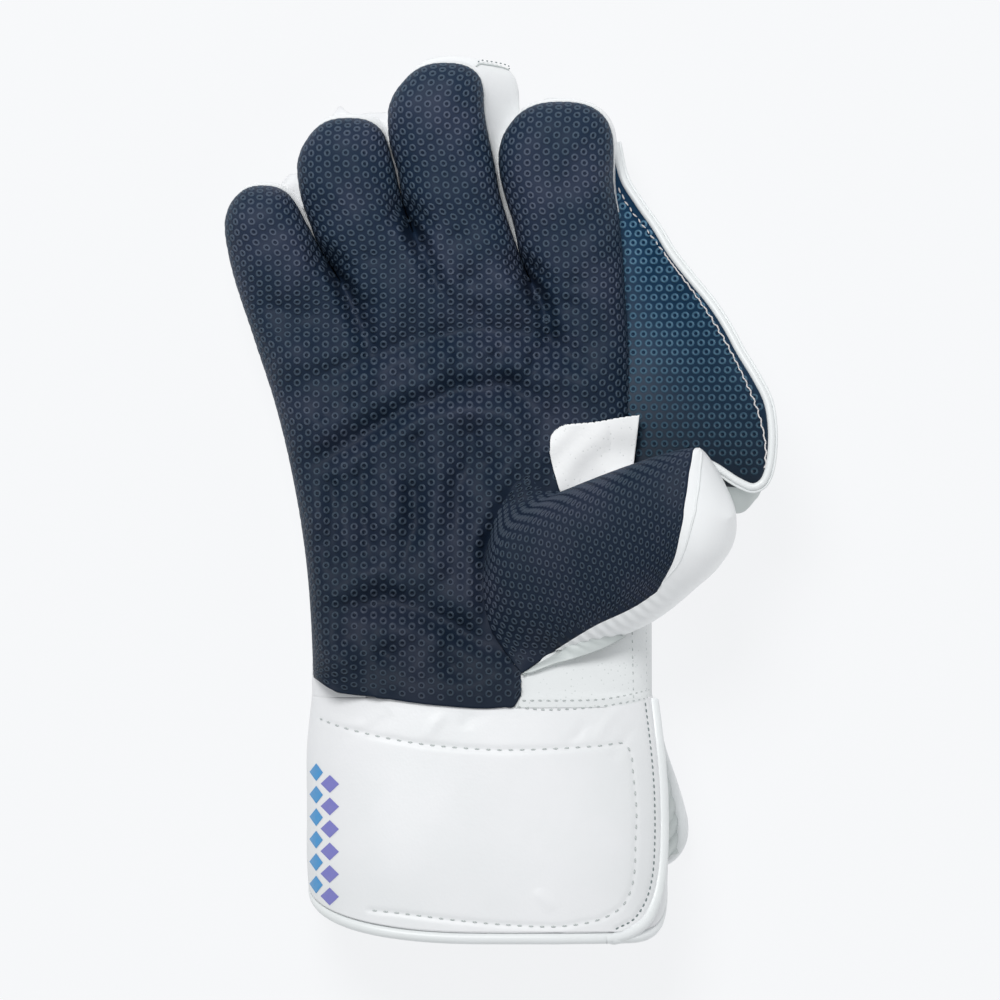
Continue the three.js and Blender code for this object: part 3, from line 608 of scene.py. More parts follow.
# Grooves pressed into the palm and ridges left between them: points, height and width, with how much
# wider each bell is, and a factor for the relief of the whole palm
FOLD_SPREAD = 1.3
RELIEF_FACTOR = 2.05
FOLDS = [
    {"rise": -3.0, "width": 8.5,
     "path": [(-92, 71), (-60, 67), (-30, 69), (0, 69), (25, 65), (50, 56)]},
    {"rise": -2.0, "width": 3.4,
     "path": [(-84, 41), (-62, 48), (-42, 55), (-29, 60), (-6, 64), (20, 60), (33, 49), (44, 38)]},
    {"rise": -2.8, "width": 3.8,
     "path": [(-77, 11), (-61, 18), (-45, 27.5), (-33, 34.5), (-15, 41.5), (1, 42.5), (11, 39), (17, 33)]},
    {"rise": 1.5, "width": 3.2,
     "path": [(-58, 13), (-40, 25), (-29, 30.5), (-9, 33.5), (5, 29.5), (9, 21), (1, 9), (-5, -6)]},
    {"path": [(-62.6, 11), (-63, -8), (-61.5, -28)], "rise": -2.2, "width": 3.2},
    {"rise": -2.4, "width": 3.6,
     "path": [(-66, -42), (-53, -40), (-40, -39), (-20, -46), (-6, -54), (2, -58)]},
    {"path": [(-32, 25), (-28, 13)], "rise": -1.4, "width": 2.6},
    {"path": [(-21, 20), (-24, 0), (-25, -20), (-20, -31)], "rise": 1.4, "width": 3.0},
    {"path": [(-11, 29), (-9, 20), (-16, 4), (-15, -18)], "rise": -1.5, "width": 2.8},
    {"path": [(-41, 12), (-38.5, -4), (-42, -14)], "rise": 1.3, "width": 3.0},
    {"path": [(-33, 8), (-31, -10), (-38, -28)], "rise": -1.6, "width": 2.8},
    {"path": [(-50, 20), (-52, 0), (-49, -22)], "rise": -1.3, "width": 2.8},
    {"path": [(-6, -8), (-12, -24), (-10, -40)], "rise": 1.0, "width": 3.0},
    {"path": [(-45, -49), (-31, -50), (-19, -55)], "rise": 1.2, "width": 3.6},
    {"path": [(-56, -30), (-44, -26), (-34, -34)], "rise": 1.1, "width": 3.2},
]

# Small presses: place, depth and width
DIMPLES = [
    (-73, 26, 1.0, 3.2), (-65, 31.5, 1.2, 3.2), (-56, 37, 1.2, 3.0), (-46, 42, 1.2, 3.0),
    (-37, 47, 1.2, 3.2), (-27, 50.5, 1.3, 3.2), (-15, 54, 1.4, 3.2), (0.7, 54.5, 1.6, 3.4),
    (13.7, 53.5, 1.5, 3.2), (4, 44, 1.2, 3.4), (-42.5, -58, 1.6, 4.4), (-17.4, -63, 1.6, 4.4),
    (-84.6, 72, 1.2, 3.4), (-48.2, 90.8, 1.0, 3.2), (-48.2, 73.1, 1.4, 3.6), (-15.9, 98.3, 1.0, 3.2),
    (-11.8, 82.9, 1.4, 3.6), (-7.3, 70.9, 1.4, 3.6), (27.9, 81, 1.2, 3.4), (27.9, 73.1, 1.4, 3.6),
    (-45, -35, 1.3, 4.0), (-28, -36, 1.2, 4.0), (-4, 14, 1.2, 3.6), (-54, 8, 1.1, 3.4),
    (-58, -52, 1.2, 4.4),
]

# Pads that swell between the grooves: place, height and width
SWELLS = [
    (-75, 55, 2.2, 9), (-40, 70, 2.4, 9), (-22, 74, 2.0, 9), (0, 74, 2.2, 10), (31, 66, 2.2, 11),
    (-52, 44, 1.4, 6), (-5, 56.5, 1.8, 3.6), (8, 50, 1.8, 4.0), (20, 46, 2.0, 5.0), (-20, 52, 1.2, 5),
    (32, 44, 1.6, 9), (-69, -8, 1.6, 6), (-68, 28, 1.4, 6), (-30, -65, 1.4, 8), (-62, -60, 1.4, 8),
    (-4, -68, 1.2, 7),
]

# The fold between the palm and the base of the thumb, from the wrist up to the crotch patch
THUMB_CREASE = [
    (8.8, -65.2), (2.0, -56.5), (-4.4, -46), (-6.2, -33), (-4.6, -19), (-0.6, -5), (4.6, 4), (12.5, 11.5),
]


def palm_relief(x, y):
    """Folds, presses and pads as bells of the distance, small ripples and a wide dish."""
    relief = np.zeros(np.shape(x))
    for fold in FOLDS:
        gap, share = distance_to(fold["path"], x, y)
        ends = smoothstep(0.0, 0.16, share) * smoothstep(1.0, 0.84, share)
        relief += fold["rise"] * bell(gap / fold["width"], FOLD_SPREAD) * (0.3 + 0.7 * ends)
    for spots, sign in ((DIMPLES, -1), (SWELLS, 1)):
        for place_x, place_y, rise, width in spots:
            relief += sign * rise * np.exp(-((x - place_x) ** 2 + (y - place_y) ** 2) / width**2)
    for valley, end in ((VALLEY_ONE, SLIT_ONE), (VALLEY_TWO, SLIT_TWO), (VALLEY_THREE, SLIT_THREE)):
        side = x - through(valley, y)
        deep = 3.5 * smoothstep(end - 50, end - 26, y) + 6.5 * smoothstep(end - 26, end - 8, y)
        relief -= deep * bell(side, 4.2) * smoothstep(end + 4, end - 6, y)
    crease, _ = distance_to(THUMB_CREASE, x, y)
    relief = RELIEF_FACTOR * relief
    relief -= 2.6 * bell(crease, 3.6) * smoothstep(6, -12, y) * smoothstep(-64, -50, y)
    bend = 0.8 * np.sin(x / 3.3 + 0.9 * np.sin(y / 6.1)) * np.sin(y / 3.9 + 1.1 * np.sin(x / 7.7))
    bend += 1.0 * np.sin(x / 6.1 - y / 17.0 + 1.3 * np.sin(y / 11.3)) * np.sin(y / 7.4 + x / 23.0)
    dish = -2.5 * np.exp(-(((x + 22) / 34) ** 2) - ((y - 2) / 42) ** 2)
    return relief + bend + dish


def palm_height(x, y):
    """The surface of the palm: the hand's top and its relief."""
    return hand_top(y) + palm_relief(x, y)


def wrist_height(x):
    """The height of the rounded section where the hand meets the cuff, a superellipse of power 3."""
    share = np.clip(np.abs(x + 6.1) / 64.3, 0, 1)
    return rounded_top(-FLATTENING, WRIST_TOP, share)


# The rubber of palm and fingers

def strip_rows(strip):
    """The y of a strip's rows: even up to its tip, then as the sine of an even angle."""
    even = np.arange(PALM_BOTTOM, strip["even"], 1.0)
    steps = np.sin(np.linspace(0, np.pi / 2, 26))
    return np.concatenate([even, strip["even"] + (strip["tip"][1] - strip["even"]) * steps])


def strip_side_blend(strip, y):
    """How much each side of a strip is palm instead of a finger's round side."""
    sides = []
    for slit in strip["slits"]:
        sides.append(np.zeros_like(y) if slit is None else smoothstep(slit + 1, slit - 15, y))
    return sides


def side_blend(strip, y, turn):
    """The same across a row, eased from its left side to its right side."""
    low, high = strip_side_blend(strip, y)
    return mix(low, high, smoothstep(-1, 1, turn))


def strip_plan(strip, y):
    """
    The middle and the half width of a strip at each y, and the factor that closes its dome. The
    factor is (1 - s^p)^(1/p) at the share s of the dome, while the middle moves over to the tip.
    """
    tip_x, tip_y = strip["tip"]
    left, right = through(strip["left"], y), through(strip["right"], y)
    into = np.clip(1 - (tip_y - y) / strip["dome"], 0, 1)
    shrink = np.maximum(1 - into ** strip["square"], 0) ** (1 / strip["square"])
    middle = mix((left + right) / 2, tip_x, smoothstep(0.2, 1.0, into))
    return middle, (right - left) / 2 * shrink, shrink


def front_strip(strip, turns):
    """
    One finger with its part of the palm. Across a row, a finger's point is at the half width times
    sin^0.75 and the height times cos^0.75 of the turn; a palm's point is at the turn's share of the
    half width, on the palm's height. Each side goes from one to the other over its valley.
    """
    y = strip_rows(strip)[:, None]
    turn = np.asarray(turns, float)[None, :]
    middle, half, shrink = strip_plan(strip, y)
    seam = seam_height(y)
    height = (hand_top(y) - seam) * shrink
    angle = turn * np.pi / 2
    round_x = middle + half * power(np.sin(angle), FRONT_ROUNDING)
    relief = palm_relief(round_x, y + 0 * turn)
    round_z = seam + height * power(np.cos(angle), FRONT_ROUNDING)
    round_z = round_z + relief * shrink * np.maximum(np.cos(angle), 0)
    flat_x = middle + half * turn
    flat_z = palm_height(flat_x, y + 0 * turn)
    blend = side_blend(strip, y, turn)
    x, z = mix(round_x, flat_x, blend), mix(round_z, flat_z, blend)
    near_hem = np.clip(1 - (y - PALM_BOTTOM) / 24, 0, 1)
    plan_y = y + (through(PALM_HEM, x) - PALM_BOTTOM) * near_hem**1.5
    lap = smoothstep(-66, -72, plan_y) * smoothstep(1.0, 0.85, np.abs(x + 6.4) / 64)
    z = mix(z, np.maximum(z, wrist_height(x) + 1.5), lap)
    points = np.stack([x, plan_y, z], -1)
    return points, blend, y[:, 0]


def strip_pattern(points, blend, y, turns):
    """Distances across and along a strip, so that the rings keep their size on its sides."""
    arc = lengths_along(points, axis=1)
    centre = int(np.argmin(np.abs(np.asarray(turns))))
    arc -= arc[:, centre : centre + 1]
    drift = np.gradient(points[:, centre, 0])
    kept = np.where(y > 92, 0.35, 1.0)
    start = int(np.searchsorted(y, 60))
    column = np.cumsum(drift * kept)
    column += points[start, centre, 0] - column[start]
    across = (1 - blend) * (column[:, None] + arc) + blend * points[:, :, 0]
    along = lengths_along(points[:, centre])
    along += y[start] - along[start]
    along[:start] = y[:start]
    return across, along


def surface_normals(points):
    """The normals of a grid of points: its slope along a row crossed with that up a column."""
    across = np.gradient(points, axis=1)
    along = np.gradient(points, axis=0)
    return unit(np.cross(across, along))


def on_surface(surface, u, v, height):
    """The points at pattern distances u across and v along a surface, raised along its normal."""
    points, normals, across, along = surface
    row = np.interp(v, along, np.arange(len(along)))
    low = np.clip(row.astype(int), 0, len(along) - 2)
    part = (row - low)[:, None]
    line = across[low] * (1 - part) + across[low + 1] * part
    column = np.clip((line < u[:, None]).sum(1) - 1, 0, line.shape[1] - 2)
    here = np.take_along_axis(line, column[:, None], 1)[:, 0]
    there = np.take_along_axis(line, column[:, None] + 1, 1)[:, 0]
    share = np.clip((u - here) / np.maximum(there - here, 1e-6), 0, 1)[:, None]
    result = []
    for field in (points, normals):
        first = field[low, column] * (1 - share) + field[low, column + 1] * share
        second = field[low + 1, column] * (1 - share) + field[low + 1, column + 1] * share
        result.append(first * (1 - part) + second * part)
    normal = unit(result[1])
    return result[0] + normal * (height * np.clip(2.2 * normal[:, 2], 0.25, 1))[:, None]


def ring_points(surface, centres):
    """Raised rings: circles of RING_RADII at RING_HEIGHTS about each centre of the pattern."""
    angles = np.linspace(0, 2 * np.pi, RING_SEGMENTS, endpoint=False)
    circle = np.stack([np.cos(angles), np.sin(angles)], 1)
    offsets = (RING_RADII[:, None, None] * circle[None]).reshape(-1, 2)
    places = (centres[:, None] + offsets[None]).reshape(-1, 2)
    heights = np.tile(np.repeat(RING_HEIGHTS, RING_SEGMENTS), len(centres))
    return on_surface(surface, places[:, 0], places[:, 1], heights)


def make_rings(name, surface, centres, ring_highlight_material, hole_shade_material):
    """One mesh of raised rings in lighter rubber that paints their highlight, with the hole in each in darker
    rubber that paints the shade in it.
    """
    one = grid_faces(len(RING_RADII), RING_SEGMENTS, wrap=True, flip=True)
    size = len(RING_RADII) * RING_SEGMENTS
    piece = new_mesh(name, ring_points(surface, centres), repeated_faces(one, size, len(centres)))
    bands = np.repeat(np.arange(len(RING_RADII) - 1), RING_SEGMENTS)
    dark = np.tile(np.isin(bands, RING_SHADE_BANDS).astype(np.int32), len(centres))
    fit(piece, (), ring_highlight_material)
    piece.data.materials.append(hole_shade_material)
    piece.data.polygons.foreach_set("material_index", dark)
    return piece


def lattice(low_u, high_u, low_v, high_v, column, pitch):
    """Centres of a honeycomb: columns side by side, every other one moved by half a pitch."""
    first = math.floor(low_u / column)
    columns = np.arange(first, math.ceil(high_u / column) + 1)
    rows = np.arange(math.floor(low_v / pitch), math.ceil(high_v / pitch) + 1)
    grid_u, grid_v = np.meshgrid(columns, rows, indexing="ij")
    places = np.stack([grid_u * column, (grid_v + 0.5 * (grid_u % 2)) * pitch], -1)
    return places.reshape(-1, 2)


def row_limits(across, along, v, low_index, high_index):
    """How far the surface reaches across at each v, between two of its columns."""
    row = np.interp(v, along, np.arange(len(along)))
    low = np.clip(row.astype(int), 0, len(along) - 2)
    part = row - low
    lines = across[:, [low_index, high_index]]
    ends = lines[low] * (1 - part)[:, None] + lines[low + 1] * part[:, None]
    return ends[:, 0], ends[:, 1]


TURN_STEPS = 22
TURNS = np.arange(-TURN_STEPS, TURN_STEPS + 1) / TURN_STEPS
WIDE_TURNS = np.arange(-TURN_STEPS - 4, TURN_STEPS + 5) / TURN_STEPS


def strip_rings(strip):
    """A strip's surface, and the centres of the rings that lie on it, clear of its open edges."""
    points, blend, y = front_strip(strip, WIDE_TURNS)
    across, along = strip_pattern(points, blend, y, WIDE_TURNS)
    surface = (points, surface_normals(points), across, along)
    centres = lattice(-125, 80, along[0], along[-1], RING_COLUMN, RING_PITCH)
    first = int(np.argmin(np.abs(WIDE_TURNS + 1)))
    last = int(np.argmin(np.abs(WIDE_TURNS - 1)))
    low, high = row_limits(across, along, centres[:, 1], first, last)
    low_blend, high_blend = strip_side_blend(strip, np.interp(centres[:, 1], along, y))
    low_margin = np.where(low_blend > 0.97, 0.0, 1.7)
    high_margin = np.where(high_blend > 0.97, 0.0, 1.7)
    inside = (centres[:, 0] >= low + low_margin) & (centres[:, 0] < high - high_margin)
    inside &= (centres[:, 1] > along[0] + 2.2) & (centres[:, 1] < along[-1] - 2.0)
    inside &= high - low > 5
    return surface, centres[inside]


def crease_x(y):
    """Where the fold at the base of the thumb lies at each y."""
    places = np.array(THUMB_CREASE)
    return np.interp(y, places[:, 1], places[:, 0])


def make_palm():
    """The rubber of palm and fingers in one skin, with the rings and the edge of each finger."""
    skins = []
    for name, strip in STRIPS.items():
        points, _, y = front_strip(strip, TURNS)
        start = INDEX_START if name == "index" else PALM_BOTTOM
        skins.append(points[y >= start])
        surface, centres = strip_rings(strip)
        hidden = (centres[:, 0] > crease_x(centres[:, 1]) - 1.0) & (centres[:, 1] < 4.5)
        kept = centres[~hidden & (centres[:, 1] > start + 2)]
        make_rings(f"{name}_rings", surface, kept, NAVY_RING_PAINTED_HIGHLIGHT, NAVY_HOLE_PAINTED_SHADE)
        make_finger_edge(name, strip)
    make_skin("palm_rubber_skin", skins, RUBBER_WALL, ["palm_rubber"], NAVY)


def make_finger_edge(name, strip):
    """A thin rolled leather edge that shows round the rubber of a fingertip."""
    slit_left, slit_right = strip["slits"]
    outline = wall_outline(strip, (slit_left or 60) + 0.5, (slit_right or 100) + 0.5, 160)
    outward = outline_normals(outline)
    inset = 0.15 + 0.75 * smoothstep(-0.45, -0.95, outward[:, :1])
    path = np.concatenate([outline - inset * outward, seam_height(outline[:, 1])[:, None]], 1)
    share = np.linspace(0, 1, len(path))
    radius = 0.2 + 0.45 * (smoothstep(0, 0.06, share) * smoothstep(1, 0.94, share))
    fit(tube(f"{name}_rolled_edge", path, upward(len(path)), radius, 8), (), ROLLED)


# The thumb, on an axis that rises from the palm. Along is a share of its run. Outer is its half
# width towards the wrist, inner towards the web and depth its half thickness.
THUMB_ROOT = np.array([4.35, -35.5, 26.0])
THUMB_PLAN = np.array([math.cos(THUMB_HEADING), math.sin(THUMB_HEADING), 0.0])
THUMB_AXIS = unit(np.array([THUMB_RUN * THUMB_PLAN[0], THUMB_RUN * THUMB_PLAN[1], THUMB_RISE]))
THUMB_COLUMNS = 156
THUMB_BACK_COLUMNS = 206
THUMB_CLOSE_ROWS = 40
THUMB_SIDE = np.array([math.sin(THUMB_HEADING), -math.cos(THUMB_HEADING), 0.0])
THUMB_FACE = np.cross(THUMB_SIDE, THUMB_AXIS)
THUMB_OUTER = [
    (-0.1, 28), (0.0, 28.5), (0.07, 29.5), (0.2, 31), (0.34, 32), (0.51, 32), (0.72, 27.5), (0.85, 23.5),
    (0.94, 17.5), (1.0, 8.5),
]
THUMB_INNER = [(-0.1, 27.5), (0.0, 27.5), (0.4, 26.5), (0.72, 24.5), (0.9, 22.3), (0.97, 20.8), (1.0, 19.6)]
THUMB_DEPTH = [(-0.1, 25), (0.0, 25), (0.3, 23.3), (0.6, 21), (0.85, 19), (1.0, 17)]
THUMB_HUMP = 12.0
THUMB_DOME = 0.2
THUMB_SQUARE = 2.6

# The rubber face from its wrist side to its web side: its first angle at a few places along, its
# last angle, the share of its rows that rise out of the fold, and where it ends along the thumb at
# shares of the way between both angles
FACE_LOW = [(-0.1, 20), (0.0, 22), (0.12, 30), (0.21, 36.6), (0.37, 44), (0.6, 43), (1.0, 43)]
FACE_HIGH = math.radians(198)
FACE_RISE = 0.3
FACE_END = [(0.0, 0.665), (0.1, 0.79), (0.23, 0.88), (0.37, 0.94), (0.56, 0.975), (1.0, 0.985)]

# The lower edge of the leather band that shows between the thumb's rubber and the wrist suede
THUMB_BAND = [
    (8.8, -65.4, 56.8), (12.1, -65.0, 56.9), (17.4, -62.8, 57.0), (21.8, -61.1, 57.0),
    (29.0, -59.4, 57.0), (39.7, -55.8, 56.8), (47.6, -51.6, 56.0),
]

# Where the leather of the thumb's back starts, from its web side round to its wrist side
BACK_START = [(0.0, 0.36), (0.25, 0.44), (0.6, 0.44), (0.85, 0.3), (1.0, 0.16)]


def thumb_point(along, angle):
    """
    A flattened tube round a rising, slightly humped axis: the half width times cos^0.87 and the
    half thickness times sin^0.87 of the angle. Its end closes to a line, where its halves are sewn.
    """
    along, angle = np.broadcast_arrays(np.asarray(along, float), np.asarray(angle, float))
    into = np.clip(1 - (1 - along) / THUMB_DOME, 0, 1)
    shrink = np.maximum(1 - into**THUMB_SQUARE, 0) ** (1 / THUMB_SQUARE)
    wide = np.where(np.cos(angle) >= 0, through(THUMB_OUTER, along), through(THUMB_INNER, along))
    thick = through(THUMB_DEPTH, along) * shrink
    length = math.hypot(THUMB_RUN, THUMB_RISE)
    centre = THUMB_ROOT + along[..., None] * length * THUMB_AXIS
    centre = centre + (THUMB_HUMP * (1 - along) ** 2)[..., None] * np.array([0, 0, 1.0])
    side = wide * power(np.cos(angle), THUMB_ROUNDING)
    face = thick * power(np.sin(angle), THUMB_ROUNDING)
    low_half = np.clip(np.cos(angle), 0, 1)
    gathers = 0.45 * np.sin(along * 150 + 2.0 * low_half) * smoothstep(0.1, 0.9, low_half)
    gathers = gathers * (np.sin(angle) > 0)
    gathers = gathers * smoothstep(0.05, 0.2, along) * smoothstep(0.85, 0.6, along)
    return centre + side[..., None] * THUMB_SIDE + (face + gathers)[..., None] * THUMB_FACE


def face_angle(along, share):
    """The angle round the thumb at a share of the way over its rubber face."""
    return mix(np.radians(through(FACE_LOW, along)), FACE_HIGH, share)


def thumb_face_grid(rows, columns):
    """
    The rubber face. Its first part rises out of the fold beside the palm along a Hermite curve, from
    the fold upwards to the tube's own direction. The rest is the tube.
    """
    share = np.linspace(0, 1, columns)[None, :]
    part = np.linspace(0, 1, rows)[:, None]
    rise_end = 0.2 + 0.2 * smoothstep(0.55, 1.0, share)
    end = through(FACE_END, share)
    along = mix(rise_end, end, np.clip((part - FACE_RISE) / (1 - FACE_RISE), 0, 1))
    tube_points = thumb_point(along, face_angle(along, share))
    crease = path_through(THUMB_CREASE, columns)
    sunk = 1.5 - 3.1 * smoothstep(0.1, 0.34, share[0]) + 1.6 * smoothstep(0.6, 0.92, share[0])
    fold = np.stack([crease[:, 0], crease[:, 1], palm_height(crease[:, 0], crease[:, 1]) + sunk], -1)[None]
    step = 1e-3
    onset = thumb_point(rise_end, face_angle(rise_end, share))
    slope = (thumb_point(rise_end + step, face_angle(rise_end + step, share)) - onset) / step
    slope = slope * 0.25
    t = np.clip(part / FACE_RISE, 0, 1)[..., None]
    leave = 0.6 * (onset - fold)
    leave[..., 2] += 11.0 * smoothstep(0.0, 0.2, share) * smoothstep(0.9, 0.5, share)
    curve = (
        (2 * t**3 - 3 * t**2 + 1) * fold
        + (t**3 - 2 * t**2 + t) * leave
        + (3 * t**2 - 2 * t**3) * onset
        + (t**3 - t**2) * slope
    )
    return np.where(part[..., None] < FACE_RISE, curve, tube_points)


def make_thumb():
    """The rubber face, the leather of tip and back, and what is sewn round them."""
    face = thumb_face_grid(130, 90)
    make_skin("thumb_rubber_skin", [face[:, ::-1]], RUBBER_WALL, ["thumb_rubber"], NAVY)
    tip = make_thumb_leather()
    make_tip_seam(tip)
    drop = 0.7 + 2.2 * smoothstep(0.2, 1.0, np.linspace(0, 1, 24))
    under_rim = np.stack([0 * drop, 0 * drop, drop], 1)
    band = sheet_between("thumb_lower_band", face[:72:3, 0] - under_rim, THUMB_BAND, wall=FOLD_WALL)
    # The band below the thumb's rubber is painted shade.
    fit(band, (), SHADED)
    make_thumb_rings(face[:, ::-1])


def make_thumb_leather():
    """
    The tip goes on from the rubber's end and the back from its sides. Both close on the same line,
    with as many degrees between their columns, so that their points meet there.
    """
    share = np.linspace(0, 1, THUMB_COLUMNS)[None, :]
    close = np.sin(np.linspace(0, 1, THUMB_CLOSE_ROWS)[:, None] * np.pi / 2)
    start = through(FACE_END, share)
    tip_along = mix(start, 1, close)
    tip = thumb_point(tip_along, face_angle(tip_along, share))
    turn = np.linspace(0, 1, THUMB_BACK_COLUMNS)[None, :]
    begin = through(BACK_START, turn)
    shoulder = mix(FACE_END[-1][1], FACE_END[0][1], turn)
    lower = mix(begin, shoulder, np.linspace(0, 1, 60)[:-1, None])
    back_along = np.concatenate([lower, mix(shoulder, 1, close)])
    low = np.radians(through(FACE_LOW, back_along))
    back = thumb_point(back_along, mix(FACE_HIGH, 2 * np.pi + low, turn))
    leather = join_grids("thumb_leather_skin", [tip, back], flip=True)
    weld(leather, 0.02)
    # The thumb's leather takes the lighter copy of the white leather, as painted light.
    fit(leather, ["thumb_leather"], LEATHER_PAINTED_LIGHT)
    return tip


def make_tip_seam(tip):
    """A thin rolled seam over the thumb's tip, at a distance from the rubber's end."""
    share = np.linspace(0, 1, THUMB_COLUMNS)[None, :]
    lengths = lengths_along(tip)
    inset = 4.6 * smoothstep(1.0, 0.7, share[0]) * smoothstep(0.0, 0.08, share[0]) + 0.3
    row = np.clip((lengths < inset).sum(0) - 1, 0, THUMB_CLOSE_ROWS - 2)
    here = np.arange(THUMB_COLUMNS)
    step = (inset - lengths[row, here]) / (lengths[row + 1, here] - lengths[row, here])
    seam = tip[row, here] + np.clip(step, 0, 1)[:, None] * (tip[row + 1, here] - tip[row, here])
    seam = seam[4:141]
    radius = 0.12 + 0.4 * np.sin(np.linspace(0, np.pi, len(seam))) ** 0.4
    fit(tube("thumb_tip_seam", seam, upward(len(seam)), radius, 8), (), ROLLED)


def make_thumb_rings(points):
    """The rings of the thumb's face, drawn 1.3 times closer along it, as its rubber is gathered there."""
    across = lengths_along(points, axis=1)
    middle = 45
    across -= across[:, middle : middle + 1]
    along = 1.3 * lengths_along(points[:, middle])
    surface = (points, surface_normals(points), across, along)
    centres = lattice(along[0], along[-1], -60, 60, RING_COLUMN, RING_PITCH)[:, ::-1]
    low_u, high_u = row_limits(across, along, centres[:, 1], 0, -1)
    inside = (centres[:, 0] > low_u + 2.2) & (centres[:, 0] < high_u - 2.2)
    inside &= (centres[:, 1] > 1.6) & (centres[:, 1] < along[-1] - 1.6)
    make_rings("thumb_rings", surface, centres[inside], NAVY_RING_PAINTED_HIGHLIGHT, NAVY_HOLE_PAINTED_SHADE)


# The web: its rolled edge, its root on the index finger, its stitches, and the pitch and rows of its rings

WEB_EDGE = [
    (44.5, 134.5, 29), (47.6, 121.0, 30.5), (52.8, 112.2, 33), (59.6, 102.2, 37.5), (65.2, 92.8, 41),
    (72.4, 83.2, 45.5), (79.9, 73.8, 49.5), (85.8, 64.6, 53), (90.7, 55.3, 56), (96.4, 45.7, 59),
    (100.8, 36.6, 61), (102.3, 27.6, 62.5), (102.3, 18.4, 63.2), (100.9, 9.8, 63.4), (98.6, 5.6, 63.4),
    (95.0, 4.0, 63.4), (89.4, 6.1, 63.4), (80.5, 11.8, 63.4), (70, 17, 63.4),
]
WEB_ROOT = [(36, 136, 29.4), (38.4, 120, 29.4), (38.4, 60, 31), (38.4, 30, 37), (38.4, 0, 38), (50, -8, 40)]
WEB_STITCH = [
    (45.2, 117.8), (49.3, 110.3), (58.7, 97.9), (65.1, 88.9), (75.6, 74.6), (83.8, 61.5), (92.4, 44.6),
    (96.9, 33.4), (99.2, 24.5), (99.9, 18.4), (99.7, 11.5),
]
WEB_PITCH = 3.9
WEB_ROW = 3.45


def edge_inward(path):
    """The direction in the plan from the web's edge towards the hand."""
    tangents = unit(np.gradient(path, axis=0))
    return unit(np.stack([tangents[:, 1], -tangents[:, 0], 0 * tangents[:, 0]], 1))


def web_grid(rows, columns, lift=0.0):
    """A ruled sheet from the root line to the rolled edge, sagging by a product of two sines."""
    edge = path_through(WEB_EDGE, rows)
    root = path_through(WEB_ROOT, rows)
    edge = edge + edge_inward(edge) * 1.6
    share = np.linspace(0, 1, columns)[None, :, None]
    part = np.linspace(0, 1, rows)[:, None, None]
    points = root[:, None] * (1 - share) + edge[:, None] * share
    sag = WEB_SAG * np.sin(np.pi * share) * np.sin(np.pi * part)
    points[..., 2] += lift - sag[..., 0]
    return points


def web_plan():
    """The web's surface over even x and y: each ruled line read at every x, then each x at every y."""
    grid = web_grid(150, 70)
    xs = np.arange(35.0, 107.0)
    ys = np.arange(-6.0, 138.0)
    y_at = np.stack([np.interp(xs, line[:, 0], line[:, 1]) for line in grid])
    z_at = np.stack([np.interp(xs, line[:, 0], line[:, 2]) for line in grid])
    heights = []
    for column, x in enumerate(xs):
        reaching = np.flatnonzero(grid[:, -1, 0] > min(x, 100.0) - 0.5)
        rows = reaching[np.argsort(y_at[reaching, column])]
        heights.append(np.interp(ys, y_at[rows, column], z_at[rows, column]))
    grid_x, grid_y = np.meshgrid(xs, ys)
    points = np.stack([grid_x, grid_y, np.stack(heights, 1)], -1)
    return points, surface_normals(points), grid_x, ys


def make_web():
    """The web's rubber and leather, its rolled edges, its rings and the layer that shows under it."""
    outside, under_side = [web_grid(150, 70)], [web_grid(100, 40, lift=-2.0)]
    make_skin("web_rubber_skin", outside, WEB_WALL, ["web_rubber"], WEB_BLUE, flip=True)
    make_skin("web_leather_skin", under_side, WEB_WALL, ["web_leather"], WHITE, flip=True)
    path = path_through(WEB_EDGE, 220)
    up = upward(len(path))
    inward = edge_inward(path)
    fit(tube("web_rolled_edge", path + 0.5 * inward, up, 1.4), ["web_piping"], ROLLED)
    outer = path - 1.25 * inward - np.array([0, 0, 0.5])
    fit(tube("web_outer_edge", outer, up, 0.62, 10), (), ROLLED)
    surface = web_plan()
    centres = lattice(0, 134, 38, 104, WEB_ROW, WEB_PITCH)[:, ::-1]
    gap, _ = distance_to(path[:, :2], centres[:, 0], centres[:, 1])
    falling = path[: int(np.argmax(path[:, 0]))]
    inside = centres[:, 0] < np.interp(centres[:, 1], falling[::-1, 1], falling[::-1, 0])
    low_x, low_y = [70, 80.5, 89, 95, 99, 104], [17, 11.8, 6.1, 4, 6, 18]
    inside &= (gap > 3.1) & (centres[:, 1] > np.interp(centres[:, 0], low_x, low_y)) & (centres[:, 1] > -3)
    make_rings("web_rings", surface, centres[inside], WEB_RING_PAINTED_HIGHLIGHT, WEB_HOLE_PAINTED_SHADE)
    make_web_stitches(surface)
    under = sheet_between(
        "web_under_layer",
        [(78, 12, 61), (84, 8, 61), (90, 4.5, 61), (95, 3, 61), (99, 5, 61)],
        [(80, 5, 52), (83.5, -2.5, 50), (87.2, -5.2, 49), (91.6, -5.0, 49), (97.2, 0.8, 54)],
    )
    # The layer under the web's edge is painted shade.
    fit(under, (), SHADED)


